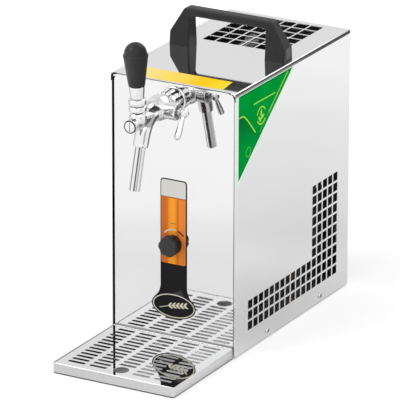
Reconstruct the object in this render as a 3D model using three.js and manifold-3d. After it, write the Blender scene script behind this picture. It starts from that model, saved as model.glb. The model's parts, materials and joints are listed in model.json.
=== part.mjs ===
// A countertop draft beer cooler: a polished steel cabinet with a compensator tap, a thermostat
// knob, a carry handle, a lift-out drip grid on a pull-off tray, and the dry cooling system inside.
// Lengths are millimetres. X runs to the right, Y to the back and Z up. Inside the model the front
// edge of the cabinet is at Y = 0 and the counter at Z = 0.

import * as THREE from "three";
import { mergeVertices } from "three/addons/utils/BufferGeometryUtils.js";
import Module from "manifold-3d";

const wasm = await Module();
wasm.setup();

const clearance = 0.3; // between two pieces that touch
const overrun = 5; // how far a cut runs past the face that it opens
const detail = 0.08; // edges shorter than this are merged
const radians = Math.PI / 180;

// Cabinet
const cabinet = { width: 176, depth: 302, height: 347, sheet: 1.2, bend: 3.2, ground: 2 };
const cover = { skirt: 4, seam: 1.4, lip: 9 };
const panel = { recess: 2, gasket: 1.6, corner: 6, rim: 8, bottom: 4, gasketDepth: 5 };
const base = { floor: 4, flange: 16, front: 14, gap: 1.5 };
const foot = { radius: 10, bevel: 1, stem: 3, inset: 26, plug: 5 };
const screw = { shank: 2, head: 3.6, crown: 2.5, headHeight: 1.8, length: 6, handleLength: 16 };
const sideScrews = { z: 10.6, front: 84, rear: 225 };

// Square vents: columns count from the back, rows from below
const vent = { pitch: 14.1, hole: 11.2, columns: 17, rows: 3, tallColumns: 5, tallRows: 10 };
vent.rear = 36.8;
vent.low = 32.4;
const topVent = { pitchX: 18.8, pitchY: 20, holeX: 16.6, holeY: 17.4, columns: 6, rows: 6 };
topVent.rear = 20.6;
const rear = { slotWidth: 42, slotHeight: 8, slotX: 26, slotPitch: 18, slots: 8, slotLow: 72 };

// Carry handle
const handle = { side: 6, postWidth: 28, height: 50, bar: 11.5, depth: 24, topDepth: 16 };
handle.chamferX = 20;
handle.chamferZ = 33;
handle.forward = 5;
handle.round = 1.8;
handle.corner = 4;

// Drip tray and its grid
const tray = { side: 2, reach: 150, height: 14, wall: 1.2, corner: 4, ledge: 3, ledgeZ: 11.4 };
tray.backGap = 0.4;
const grid = { thick: 1.5, gap: 0.5, slotLength: 24, slotWidth: 5, pitchX: 30.5, pitchY: 10.2 };
grid.columns = 5;
grid.rows = 13;
grid.back = 10.3;
grid.fingerRadius = 10;
grid.fingerY = 129;
grid.web = 1; // least metal left between the finger hole and a slot

// Tap: distances along it count from the face of the front panel towards the user
const tap = { down: 21.5, shank: 7.9, bore: 4, tail: 12, tailBack: 6.3, tailFront: 22 };
tap.shankInside = 38;
tap.barrel = 57;
tap.bulb = 16.4;
tap.arm = 9.6;
// Radius as a share of the bulb, distance as a share of the barrel
const barrelShares = [[0.915, 0.482], [1, 0.596], [0.963, 0.737], [0.79, 0.877], [0.585, 0.965]];
const armStartShare = 0.912;
const armBendShare = 1.19;
const armSwingShare = 0.45;
const rosette = { radius: 17, thick: 2.2, rim: 1, bevel: 1.2 };
const nut = { radius: 15.8, front: 20.5, ribs: 11, ribDepth: 1.1, shoulder: 3.5, bevel: 2.6 };
const hexNut = { wall: 5, length: 6, flats: 6 };

const valve = { down: 4, radius: 8.5, bore: 5.5, front: 103, back: 50, boreBack: 62 };
const cap = { radius: 8.3, thick: 5.3, spigot: 2.8, bevel: 1.4, slot: 1.6 };
const plunger = { fit: 0.4, gap: 2.2, length: 29, notchFront: 7, notchBack: 9, notchUp: 2.2 };
plunger.groove = 2.75;
plunger.grooveDown = 3.1;
const seal = { front: 0.8, width: 1.4, depth: 1 };

const spout = { lean: 16 * radians, radius: 6.5, bore: 5, joint: 36.5, length: 55, back: 82 };
spout.depth = 12;
spout.socket = 9.3;
spout.socketRise = 14;
spout.armRise = 17;
spout.armSink = 2;
spout.boreRise = 30;

const lever = { y: 88, up: 2.5, dome: 11, cupGap: 0.4, hub: 3.8, neck: 2.4, pin: 1.6, tail: 1.3 };
lever.ball = 2.4;
lever.slotHalf = 9;
lever.lean = 4 * radians; // how far it leans to the front while the tap is shut
const stem = { low: 9.2, radius: 11, bevel: 2, ringOne: 16.5, ringTwo: 25.5, groove: 1.2 };
stem.grooveWidth = 1;
stem.waist = 2.4;
stem.top = 41.6;
stem.topIn = 1;
stem.stud = 4;
stem.studLength = 22;
const knob = { foot: 10.4, bevel: 1, rim: 15.6, dome: 14.5, cone: 40, height: 55.8, round: 2 };
knob.step = 0.8;

const comp = { y: 38.6, down: 0.5, radius: 11, reach: 28, spindle: 3.8, bore: 4.2, inner: 6 };
comp.ball = 6.2;
comp.collar = 5.4;
comp.ballX = 36.2;
comp.flat = 1;
const hanger = { lean: 33 * radians, root: 2.5, tip: 4, length: 33, socket: 2.2, tipLength: 8 };
hanger.bevel = 1;

// Thermostat
const dial = { z: 137, radius: 13.5, skirt: 11.5, reach: 15, skirtDepth: 4, flutes: 7, shaft: 3 };
dial.fluteDepth = 1.1;
dial.face = 4;
dial.bevel = 1.7;
dial.gap = 1;
dial.body = 34;
dial.bodyDepth = 26;
dial.collar = 5;
dial.collarOut = 0.6;
dial.shaftDepth = 4;

// Back of the cabinet
const inlet = { x: -50, down: 35, radius: 8, flange: 11, reach: 16, bore: 4.9, inside: 10 };
const gland = { side: 20.3, up: 34, radius: 7, flange: 10.5, reach: 14, bore: 3.9, inside: 7 };
const fitting = { flange: 2.7, bevel: 1, taper: 1.4, floor: 2, neck: 0.6 };
const rocker = { x: 52, down: 47, width: 22, height: 28, wall: 1.6, flange: 3, depth: 15 };
rocker.rim = 1.7;
rocker.corner = 2;
rocker.throw = 11 * radians;
rocker.axle = 1.6;
rocker.axleDepth = 2.4;
rocker.axleSeat = 1;
rocker.endGap = 1.8;
rocker.tailDepth = 8;
rocker.tailHalf = 3.5;
rocker.root = 0.4;
rocker.face = 0.9;
rocker.reach = 3.4;

// Cooling system
const compressor = { left: 66.8, fanGap: 12, radius: 50, height: 128, seam: 4, seamReach: 3, plate: 3 };
compressor.lift = 9;
compressor.legs = 44;
compressor.lug = 8;
compressor.rise = 1;
compressor.curve = 14;
compressor.discharge = [12, 10];
compressor.suction = [-12, 18];
const seamShare = 0.55;
// Radius as a share of the shell's radius, height as a share of its height
const shellShares = [[1, 0.72], [0.93, 0.87], [0.72, 0.96], [0.4, 1]];
const grommet = { radius: 7, neck: 3, tip: 3, foot: 1 };
const relay = { width: 26, depth: 40, height: 46, low: 62, corner: 3, sink: 8 };
const condenser = { side: 3, rear: 5.8, depth: 34, height: 228, fins: 13, fin: 1.6, spine: 9 };
const fan = { z: 142, margin: 5, tipGap: 6, hub: 17, motor: 20, blades: 5, plateGap: 8 };
fan.bladeGap = 5.5;
fan.depth = 14;
fan.motorLength = 26;
fan.arm = 7;
fan.strap = 2;
fan.pitch = 32 * radians;
fan.bladeThick = 2;
fan.shaft = 3;
fan.shaftLength = 14;
fan.root = 7;
fan.rootSink = 3;
fan.tip = 15;
const tipShares = [0.85, 0.9];
fan.lip = 1;
const shelf = { rise: 41.8, front: 42, back: 172, flange: 12 };
const block = { front: 62, back: 148, corner: 4 };
const wrap = { side: 23.8, wall: 15, floor: 19.7, rim: 3, gap: 0.4, lid: 9, room: 39.5 };
wrap.corner = 6;
const pipe = { beer: 4, gas: 3, bend: 8, gasBend: 6, gasRise: 12, beerRun: 34, tubeGap: 7 };
const drier = { radius: 9, plateGap: 27, low: 42, high: 98, shoulder: 8, end: 120, inset: 4 };

// Sizes and places that follow from those above
const innerHalf = cabinet.width / 2 - cabinet.sheet;
const topUnderside = cabinet.height - cabinet.sheet;
const seamZ = cabinet.height - cover.skirt - cover.seam;
const panelHalf = innerHalf - panel.gasket - 2 * clearance;
const panelTop = topUnderside - panel.gasket - 2 * clearance;
const panelBack = panel.recess + cabinet.sheet;
const baseTop = base.floor + cabinet.sheet;
const baseBack = cabinet.depth - cabinet.sheet - clearance;
const rearPanelBack = baseBack - cabinet.sheet - clearance;
const rearPanelFront = rearPanelBack - cabinet.sheet;
const footX = cabinet.width / 2 - foot.inset;
const handleHalf = cabinet.width / 2 - handle.side;
const handleY = cabinet.depth / 2 - handle.forward;
const handlePostX = handleHalf - handle.postWidth / 2;
const gridZ = tray.ledgeZ + clearance;
const tapZ = cabinet.height - tap.down;
const valveZ = tapZ - valve.down;
const leverZ = tapZ + lever.up;
const compZ = tapZ - comp.down;
const spoutTop = tapZ - spout.joint;
const nutBack = rosette.thick + 2 * clearance;
const capBack = valve.front + clearance;
const capFront = capBack + cap.thick;
const plungerFront = capBack - cap.spigot - plunger.gap;
const plungerRadius = valve.bore - plunger.fit;
const inletZ = cabinet.height - inlet.down;
const glandX = innerHalf - gland.side;
const rockerZ = cabinet.height - rocker.down;
const compressorTop = baseTop + compressor.lift + compressor.height;
const condenserHalf = footX - foot.stem - condenser.side;
const condenserBack = rearPanelFront - condenser.rear;
const condenserFront = condenserBack - condenser.depth;
const condenserMiddle = (condenserFront + condenserBack) / 2;
const fanOpening = condenserHalf - fan.margin;
const fanPlateY = condenserFront - fan.plateGap;
const fanHubBack = fanPlateY - fan.bladeGap;
const motorBack = fanHubBack - fan.depth - 2 * clearance;
const motorFront = motorBack - fan.motorLength;
const compressorX = compressor.left - innerHalf;
const compressorReach = compressor.radius + compressor.seamReach;
const compressorY = motorFront - compressor.fanGap - compressorReach;
const shelfZ = compressorTop + shelf.rise;
const blockHalf = innerHalf - wrap.side - wrap.wall;
const blockBottom = shelfZ + clearance + wrap.floor;
const lidTop = topUnderside - wrap.room;
const blockTop = lidTop - wrap.lid - clearance - wrap.rim;

// Materials
function finish(color, roughness, metalness) {
  return new THREE.MeshStandardMaterial({ color, roughness, metalness });
}
const looks = {
  mirrorSteel: finish(0xe4e5e6, 0.08, 1),
  brushedSteel: finish(0xc9cacb, 0.35, 1),
  chrome: finish(0xe8e9ea, 0.06, 1),
  blackPlastic: finish(0x242527, 0.5, 0),
  blackRubber: finish(0x141414, 0.8, 0),
  aluminium: finish(0xb6b8ba, 0.4, 1),
  paintedBlack: finish(0x1d1e20, 0.45, 0),
  copper: finish(0xb66f45, 0.35, 1),
  foam: finish(0xd8d6cf, 0.9, 0),
  clearTube: finish(0xdadfe0, 0.3, 0),
  whitePlastic: finish(0xd7d8d8, 0.5, 0),
};

// Solids and meshes

function solid(geometry) {
  const bare = geometry.clone();
  bare.deleteAttribute("normal");
  bare.deleteAttribute("uv");
  const merged = mergeVertices(bare, 1e-4);
  const vertProperties = merged.attributes.position.array;
  const triVerts = new Uint32Array(merged.index.array);
  return new wasm.Manifold(new wasm.Mesh({ numProp: 3, vertProperties, triVerts }));
}

function geometryOf(body) {
  const made = body.getMesh();
  const geometry = new THREE.BufferGeometry();
  geometry.setAttribute("position", new THREE.BufferAttribute(made.vertProperties, 3));
  geometry.setIndex(new THREE.BufferAttribute(made.triVerts, 1));
  const flat = geometry.toNonIndexed();
  flat.computeVertexNormals();
  return flat;
}

function piece(name, body, material, x = 0, y = 0, z = 0) {
  const mesh = new THREE.Mesh(geometryOf(body.simplify(detail)), material);
  mesh.name = name;
  mesh.position.set(x, y, z);
  return mesh;
}

function join(...bodies) {
  return bodies.reduce((all, next) => all.add(next));
}

function cut(body, ...tools) {
  return tools.reduce((left, tool) => left.subtract(tool), body);
}

// Outlines

// A rectangle centred on x, y whose top and bottom corners may have different radii.
function roundedRectangle(width, height, radius, x = 0, y = 0, low = radius) {
  const [right, top] = [x + width / 2, y + height / 2];
  const [left, bottom] = [x - width / 2, y - height / 2];
  const outline = new THREE.Shape();
  outline.moveTo(left + low, bottom);
  outline.lineTo(right - low, bottom);
  if (low) outline.absarc(right - low, bottom + low, low, -Math.PI / 2, 0);
  outline.lineTo(right, top - radius);
  if (radius) outline.absarc(right - radius, top - radius, radius, 0, Math.PI / 2);
  outline.lineTo(left + radius, top);
  if (radius) outline.absarc(left + radius, top - radius, radius, Math.PI / 2, Math.PI);
  outline.lineTo(left, bottom + low);
  if (low) outline.absarc(left + low, bottom + low, low, Math.PI, Math.PI * 1.5);
  return outline;
}

function rectangle(width, height, x = 0, y = 0) {
  return roundedRectangle(width, height, 0, x, y);
}

function polygon(points) {
  return new THREE.Shape(points.map(([x, y]) => new THREE.Vector2(x, y)));
}

// A closed outline round x, y whose radius at each of its corners comes from a function.
function star(corners, radiusAt, x = 0, y = 0) {
  const points = [];
  for (let i = 0; i < corners; i++) {
    const angle = ((i + 0.5) / corners) * Math.PI * 2;
    points.push([x + radiusAt(i) * Math.sin(angle), y + radiusAt(i) * Math.cos(angle)]);
  }
  return polygon(points);
}

// Extrusions: a shape drawn in plan, seen from the front, or seen from the right-hand side

function plan(shape, low, high, curveSegments = 1) {
  const options = { depth: high - low, bevelEnabled: false, curveSegments };
  return solid(new THREE.ExtrudeGeometry(shape, options).translate(0, 0, low));
}

// Drawn with X across and Z up, and reaching from front to back.
function elevation(shape, front, back, curveSegments = 2) {
  const options = { depth: back - front, bevelEnabled: false, curveSegments };
  const geometry = new THREE.ExtrudeGeometry(shape, options);
  return solid(geometry.rotateX(Math.PI / 2).translate(0, back, 0));
}

// Drawn with Y across and Z up, and reaching from left to right.
function profile(shape, left, right, curveSegments = 2) {
  const options = { depth: right - left, bevelEnabled: false, curveSegments };
  const geometry = new THREE.ExtrudeGeometry(shape, options);
  geometry.rotateX(Math.PI / 2).rotateZ(Math.PI / 2);
  return solid(geometry.translate(left, 0, 0));
}

function box(left, right, front, back, low, high) {
  const geometry = new THREE.BoxGeometry(right - left, back - front, high - low);
  return solid(geometry.translate((left + right) / 2, (front + back) / 2, (low + high) / 2));
}

// Solids of revolution about Z: pairs of radius and height, from the axis below to the axis above.
function revolve(pairs, segments = 14) {
  const points = pairs.map(([r, h]) => new THREE.Vector2(r, h));
  return solid(new THREE.LatheGeometry(points, segments).rotateX(Math.PI / 2));
}

function disc(radius, low, high, segments = 14) {
  return revolve([[0, low], [radius, low], [radius, high], [0, high]], segments);
}

// The same about an axis that points to the front.
function revolveForward(pairs, segments = 14) {
  return revolve(pairs, segments).rotate([90, 0, 0]);
}

function rod(radius, front, back, x, z, segments = 14) {
  return revolveForward([[0, -back], [radius, -back], [radius, -front], [0, -front]], segments)
    .translate([x, 0, z]);
}

// A rod along X.
function crossRod(radius, left, right, y, z, segments = 12) {
  return disc(radius, left, right, segments).rotate([0, 90, 0]).translate([0, y, z]);
}

function ball(radius, x, y, z, segments = 16) {
  const steps = segments / 2;
  const pairs = [];
  for (let i = 0; i <= steps; i++) {
    const angle = Math.PI * (i / steps - 0.5);
    pairs.push([i % steps ? radius * Math.cos(angle) : 0, radius * Math.sin(angle)]);
  }
  return revolve(pairs, segments).translate([x, y, z]);
}

// The points of a line through corners, with each corner turned in a round bend.
function bentLine(corners, bend) {
  const at = corners.map((p) => new THREE.Vector3(...p));
  const line = [at[0]];
  for (let i = 1; i < at.length - 1; i++) {
    const into = at[i].clone().sub(at[i - 1]).normalize();
    const out = at[i + 1].clone().sub(at[i]).normalize();
    const before = at[i].clone().addScaledVector(into, -bend);
    const after = at[i].clone().addScaledVector(out, bend);
    line.push(...new THREE.QuadraticBezierCurve3(before, at[i], after).getPoints(3));
  }
  line.push(at[at.length - 1]);
  return line;
}

const steepShare = 0.1; // a line closer to upright than this is turned about X instead

// A round pipe through points, closed at both ends.
function tube(line, radius, sides = 6) {
  const steps = line.map((point, i) => {
    const before = line[Math.max(i - 1, 0)];
    const after = line[Math.min(i + 1, line.length - 1)];
    return after.clone().sub(before).normalize();
  });
  const across = new THREE.Vector3(0, 0, 1).cross(steps[0]);
  if (across.length() < steepShare) across.set(1, 0, 0);
  const vertices = [];
  line.forEach((point, i) => {
    across.addScaledVector(steps[i], -across.dot(steps[i])).normalize();
    const up = steps[i].clone().cross(across);
    for (let k = 0; k < sides; k++) {
      const angle = (k / sides) * Math.PI * 2;
      const rim = point.clone().addScaledVector(across, radius * Math.cos(angle));
      vertices.push(...rim.addScaledVector(up, radius * Math.sin(angle)).toArray());
    }
  });
  vertices.push(...line[0].toArray(), ...line[line.length - 1].toArray());
  const [first, last] = [line.length * sides, line.length * sides + 1];
  const index = [];
  for (let k = 0; k < sides; k++) {
    const next = (k + 1) % sides;
    for (let i = 0; i < line.length - 1; i++) {
      const [low, high] = [i * sides, (i + 1) * sides];
      index.push(low + k, low + next, high + next, low + k, high + next, high + k);
    }
    const end = (line.length - 1) * sides;
    index.push(first, next, k, last, end + k, end + next);
  }
  const geometry = new THREE.BufferGeometry();
  geometry.setAttribute("position", new THREE.Float32BufferAttribute(vertices, 3));
  geometry.setIndex(index);
  return solid(geometry);
}

// Cabinet

// A block with the cabinet's bend round its four top edges, smaller than the cabinet by inset.
function coverBlock(inset, low) {
  const [width, length] = [cabinet.width - 2 * inset, cabinet.depth - 2 * inset];
  const high = cabinet.height - inset;
  const [middle, bend] = [(low + high) / 2, cabinet.bend - inset];
  const across = roundedRectangle(width, high - low, bend, 0, middle, 0);
  const along = roundedRectangle(length, high - low, bend, cabinet.depth / 2, middle, 0);
  return elevation(across, inset, cabinet.depth - inset, 1)
    .intersect(profile(along, -width / 2, width / 2, 1));
}

function topCover() {
  const low = cabinet.height - cover.skirt;
  const high = cabinet.height + overrun;
  const shell = cut(coverBlock(0, low), coverBlock(cabinet.sheet, low - overrun));
  const tools = [];
  for (let i = 0; i < topVent.columns; i++) {
    for (let j = 0; j < topVent.rows; j++) {
      const x = (i - (topVent.columns - 1) / 2) * topVent.pitchX;
      const y = cabinet.depth - topVent.rear - j * topVent.pitchY;
      const [halfX, halfY] = [topVent.holeX / 2, topVent.holeY / 2];
      tools.push(box(x - halfX, x + halfX, y - halfY, y + halfY, low, high));
    }
  }
  for (const x of [-handlePostX, handlePostX]) {
    tools.push(disc(screw.shank + clearance, low, high, 8).translate([x, handleY, 0]));
  }
  return piece("top_cover", cut(shell, ...tools), looks.mirrorSteel);
}

// Rows of square vents along the bottom, and on one side a tall field of them at the back.
function sideVents(tallColumns) {
  const [left, right] = [innerHalf - overrun, innerHalf + cabinet.sheet + overrun];
  const half = vent.hole / 2;
  const tools = [];
  for (let i = 0; i < vent.columns; i++) {
    const y = cabinet.depth - vent.rear - i * vent.pitch;
    for (let j = 0; j < (i < tallColumns ? vent.tallRows : vent.rows); j++) {
      const z = vent.low + j * vent.pitch;
      tools.push(box(left, right, y - half, y + half, z - half, z + half));
    }
  }
  return tools;
}

function sidePanel(name, side) {
  const height = seamZ - cabinet.ground;
  const middle = cabinet.depth / 2;
  const outline = rectangle(cabinet.depth, height, middle, cabinet.ground + height / 2);
  const [left, right] = [innerHalf, innerHalf + cabinet.sheet];
  const bores = [sideScrews.front, sideScrews.rear].map((y) => {
    return crossRod(screw.shank + clearance, left - overrun, right + overrun, y, sideScrews.z, 8);
  });
  const vents = sideVents(side > 0 ? vent.tallColumns : 0);
  const web = cut(profile(outline, left, right), ...vents, ...bores);
  // The edge steps inwards and runs up behind the skirt of the top cover.
  const lipOuter = innerHalf - clearance;
  const lipInner = lipOuter - cabinet.sheet;
  const lipFront = panelBack + panel.rim;
  const lipTop = topUnderside - cabinet.bend + cabinet.sheet - clearance;
  const back = cabinet.depth - cabinet.sheet;
  const low = seamZ - cover.lip;
  const step = box(lipInner, innerHalf, lipFront, back, low, low + cabinet.sheet);
  const lip = box(lipInner, lipOuter, lipFront, back - clearance, low, lipTop);
  const flange = box(innerHalf - cover.lip, innerHalf, back, cabinet.depth, cabinet.ground, seamZ);
  const body = join(web, step, lip, flange);
  return piece(name, side > 0 ? body : body.mirror([1, 0, 0]), looks.mirrorSteel);
}

function panelOutline(grow) {
  const [width, low] = [2 * (panelHalf + grow), panel.bottom - grow];
  const height = panelTop + grow - low;
  return roundedRectangle(width, height, panel.corner + grow, 0, low + height / 2, 0);
}

function frontPanel() {
  const front = panel.recess;
  const plate = elevation(panelOutline(0), front, front + panel.rim);
  const hollow = elevation(panelOutline(-cabinet.sheet), panelBack, front + panel.rim + overrun);
  const [start, end] = [front - overrun, panelBack + overrun];
  const shankHole = rod(tap.shank + clearance, start, end, 0, tapZ, 20);
  const dialHole = rod(dial.collar + clearance, start, end, 0, dial.z);
  return piece("front_panel", cut(plate, hollow, shankHole, dialHole), looks.mirrorSteel);
}

function frontGasket() {
  const low = panel.bottom;
  const high = topUnderside - 2 * clearance;
  const width = 2 * (innerHalf - clearance);
  const outer = roundedRectangle(width, high - low, cabinet.bend, 0, (low + high) / 2, 0);
  const back = panel.recess + panel.gasketDepth;
  const opening = elevation(panelOutline(clearance), 0, back + overrun);
  const ring = elevation(outer, panel.recess, back).subtract(opening);
  return piece("front_gasket", ring, looks.blackRubber);
}

function basePan() {
  const half = innerHalf - clearance;
  const top = base.floor + base.flange;
  const outer = box(-half, half, base.front, baseBack, base.floor, top);
  const inner = half - cabinet.sheet;
  const [front, back] = [base.front + cabinet.sheet, baseBack - cabinet.sheet];
  const tools = [box(-inner, inner, front, back, baseTop, top + overrun)];
  for (const [x, y] of footPlaces()) {
    tools.push(disc(foot.stem + clearance, 0, baseTop + overrun, 8).translate([x, y, 0]));
  }
  for (const y of [sideScrews.front, sideScrews.rear]) {
    const reach = half + overrun;
    tools.push(crossRod(screw.shank + clearance, -reach, reach, y, sideScrews.z, 8));
  }
  for (const [x, y] of grommetPlaces()) {
    tools.push(disc(grommet.neck + clearance, 0, baseTop + overrun, 8).translate([x, y, 0]));
  }
  return piece("base_pan", cut(outer, ...tools), looks.brushedSteel);
}

function footPlaces() {
  const [front, back] = [foot.inset, cabinet.depth - foot.inset];
  return [[-footX, front], [footX, front], [-footX, back], [footX, back]];
}

function feet() {
  const names = ["front_left", "front_right", "rear_left", "rear_right"];
  const pad = base.floor - clearance;
  const pairs = [
    [0, 0], [foot.radius - foot.bevel, 0], [foot.radius, pad],
    [foot.stem, pad], [foot.stem, pad + foot.plug], [0, pad + foot.plug],
  ];
  return footPlaces().map(([x, y], i) => {
    return piece("foot_" + names[i], revolve(pairs, 8), looks.blackRubber, x, y);
  });
}

// A round-headed screw along Z with its head below and its tip above.
function screwBody(length) {
  return revolve([
    [0, -screw.headHeight], [screw.crown, -screw.headHeight], [screw.head, 0],
    [screw.shank, 0], [screw.shank, length], [0, length],
  ], 8);
}

function sideScrewSet() {
  const x = cabinet.width / 2 + clearance;
  const made = [];
  for (const [side, sign] of [["left", -1], ["right", 1]]) {
    for (const [end, y] of [["front", sideScrews.front], ["rear", sideScrews.rear]]) {
      const body = screwBody(screw.length).rotate([0, -sign * 90, 0]);
      const name = "case_screw_" + side + "_" + end;
      made.push(piece(name, body, looks.chrome, sign * x, y, sideScrews.z));
    }
  }
  return made;
}

function rearPanel() {
  const half = innerHalf - cabinet.sheet - 3 * clearance;
  const [low, high] = [baseTop + clearance, seamZ - base.gap];
  const plate = box(-half, half, rearPanelFront, rearPanelBack, low, high);
  const [width, height] = [rocker.width + 2 * clearance, rocker.height + 2 * clearance];
  const openings = [rectangle(width, height, rocker.x, rockerZ)];
  for (let i = 0; i < rear.slots; i++) {
    const z = rear.slotLow + i * rear.slotPitch;
    openings.push(rectangle(rear.slotWidth, rear.slotHeight, -rear.slotX, z));
    openings.push(rectangle(rear.slotWidth, rear.slotHeight, rear.slotX, z));
  }
  const [front, back] = [rearPanelFront - overrun, rearPanelBack + overrun];
  const tools = openings.map((shape) => elevation(shape, front, back));
  tools.push(rod(inlet.radius + 2 * clearance, front, back, inlet.x, inletZ));
  tools.push(rod(gland.radius + 2 * clearance, front, back, glandX, gland.up));
  return piece("rear_panel", cut(plate, ...tools), looks.paintedBlack);
}

// Carry handle

function carryHandle() {
  const { height, chamferX, chamferZ, bar, postWidth, corner, round, depth, topDepth } = handle;
  const half = handleHalf;
  const inner = half - postWidth;
  const [shoulder, under] = [height - chamferZ, height - bar];
  const outline = new THREE.Shape();
  outline.moveTo(-half, 0);
  outline.lineTo(-half, shoulder - corner);
  outline.quadraticCurveTo(-half, shoulder, -half + corner / 2, shoulder + corner);
  outline.lineTo(-half + chamferX - corner, height - corner);
  outline.quadraticCurveTo(-half + chamferX, height, -half + chamferX + 2 * corner, height);
  outline.lineTo(half - chamferX - 2 * corner, height);
  outline.quadraticCurveTo(half - chamferX, height, half - chamferX + corner, height - corner);
  outline.lineTo(half - corner / 2, shoulder + corner);
  outline.quadraticCurveTo(half, shoulder, half, shoulder - corner);
  outline.lineTo(half, 0);
  outline.lineTo(inner, 0);
  outline.lineTo(inner, under - corner);
  outline.quadraticCurveTo(inner, under, inner - corner, under);
  outline.lineTo(corner - inner, under);
  outline.quadraticCurveTo(-inner, under, -inner, under - corner);
  outline.lineTo(-inner, 0);
  outline.closePath();
  const geometry = new THREE.ExtrudeGeometry(outline, {
    depth: depth - 2 * round, bevelEnabled: true, bevelSize: round,
    bevelThickness: round, bevelOffset: -round, bevelSegments: 1, curveSegments: 3,
  });
  geometry.translate(0, 0, -(depth / 2 - round)).rotateX(Math.PI / 2);
  // The arch gets thinner, front to back, from its feet to its bar.
  const position = geometry.attributes.position;
  for (let i = 0; i < position.count; i++) {
    const share = Math.max(0, Math.min(1, position.getZ(i) / height));
    position.setY(i, position.getY(i) * (1 + share * (topDepth / depth - 1)));
  }
  const tools = [-handlePostX, handlePostX].map((x) => {
    return disc(screw.shank + clearance, -overrun, screw.handleLength, 8).translate([x, 0, 0]);
  });
  const z = cabinet.height + clearance;
  return piece("carry_handle", cut(solid(geometry), ...tools), looks.blackPlastic, 0, handleY, z);
}

function handleScrews() {
  const z = topUnderside - clearance;
  return [["left", -handlePostX], ["right", handlePostX]].map(([name, x]) => {
    const body = screwBody(screw.handleLength - 2 * clearance);
    return piece("handle_screw_" + name, body, looks.chrome, x, handleY, z);
  });
}

// Drip tray

function trayOutline(inset) {
  const [back, width] = [tray.backGap + inset, cabinet.width - 2 * (tray.side + inset)];
  const length = tray.reach - inset - back;
  const corner = Math.max(tray.corner - inset, clearance);
  return roundedRectangle(width, length, 0, 0, -(back + length / 2), corner);
}

function dripTray() {
  const top = tray.height + overrun;
  const outer = plan(trayOutline(0), 0, tray.height, 2);
  const basin = plan(trayOutline(tray.wall + tray.ledge), tray.wall, top);
  const seat = plan(trayOutline(tray.wall), tray.ledgeZ, top, 2);
  return piece("drip_tray", cut(outer, basin, seat), looks.brushedSteel);
}

function dripGrid() {
  const [low, high] = [gridZ - overrun, gridZ + grid.thick + overrun];
  const plate = plan(trayOutline(tray.wall + grid.gap), gridZ, gridZ + grid.thick, 2);
  const tools = [disc(grid.fingerRadius, low, high, 24).translate([0, -grid.fingerY, 0])];
  const reach = grid.fingerRadius + grid.slotWidth / 2 + grid.web;
  for (let i = 0; i < grid.columns; i++) {
    for (let j = 0; j < grid.rows; j++) {
      const x = (i - (grid.columns - 1) / 2) * grid.pitchX;
      const y = -(grid.back + j * grid.pitchY);
      const central = Math.abs(x) < grid.pitchX / 2;
      if (central && Math.abs(y + grid.fingerY) < reach) continue;
      tools.push(plan(rectangle(grid.slotLength, grid.slotWidth, x, y), low, high));
    }
  }
  return piece("drip_grid", cut(plate, ...tools), looks.mirrorSteel);
}

// Tap

function tapGroup() {
  const group = new THREE.Group();
  group.position.set(0, panel.recess, 0);
  group.add(
    tapShank(), tapRosette(), shankNut(), couplingNut(), tapBody(), spoutTube(), valveCap(),
    valvePlunger(), plungerSeal(), leverPin(), leverStem(), leverKnob(), compSpindle(), compLever(),
  );
  return group;
}

function tapShank() {
  const [front, back] = [clearance - tap.tailBack, tap.shankInside];
  const body = rod(tap.shank, front, back, 0, tapZ, 20);
  const bore = rod(tap.bore, front - overrun, back + overrun, 0, tapZ, 10);
  return piece("tap_shank", body.subtract(bore), looks.chrome);
}

function tapRosette() {
  const { radius, thick, rim, bevel } = rosette;
  const bore = tap.shank + clearance;
  const [low, high] = [clearance, clearance + thick];
  const pairs = [[bore, low], [radius, low], [radius, rim], [radius - bevel, high], [bore, high]];
  const body = revolveForward([...pairs, pairs[0]], 20).translate([0, 0, tapZ]);
  return piece("tap_rosette", body, looks.chrome);
}

function shankNut() {
  const front = cabinet.sheet + clearance;
  const back = front + hexNut.length;
  const body = elevation(star(hexNut.flats, () => tap.shank + hexNut.wall, 0, tapZ), front, back);
  const bore = rod(tap.shank + clearance, front - overrun, back + overrun, 0, tapZ, 20);
  return piece("shank_nut", body.subtract(bore), looks.chrome);
}

function couplingNut() {
  const { radius, front, ribs, ribDepth, shoulder, bevel } = nut;
  const outline = star(ribs * 4, (i) => (i % 4 < 2 ? radius : radius - ribDepth), 0, tapZ);
  const ribbed = elevation(outline, -front, -nutBack);
  const rounded = revolveForward([
    [0, nutBack], [radius, nutBack], [radius, front - shoulder], [radius - bevel, front], [0, front],
  ], 16).translate([0, 0, tapZ]);
  const seat = rod(tap.tail + clearance, -front - overrun, clearance - tap.tailBack, 0, tapZ);
  const bore = rod(tap.shank + clearance, -front, overrun, 0, tapZ, 20);
  return piece("coupling_nut", cut(ribbed.intersect(rounded), seat, bore), looks.chrome);
}

// The point at height z on the line of the spout.
function spoutPoint(z) {
  return [-(spout.back + (spoutTop - z) * Math.tan(spout.lean)), z];
}

function spoutRod(radius, high, low, segments) {
  const [topY] = spoutPoint(high);
  return disc(radius, -(high - low) / Math.cos(spout.lean), 0, segments)
    .rotate([-spout.lean / radians, 0, 0])
    .translate([0, topY, high]);
}

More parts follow.
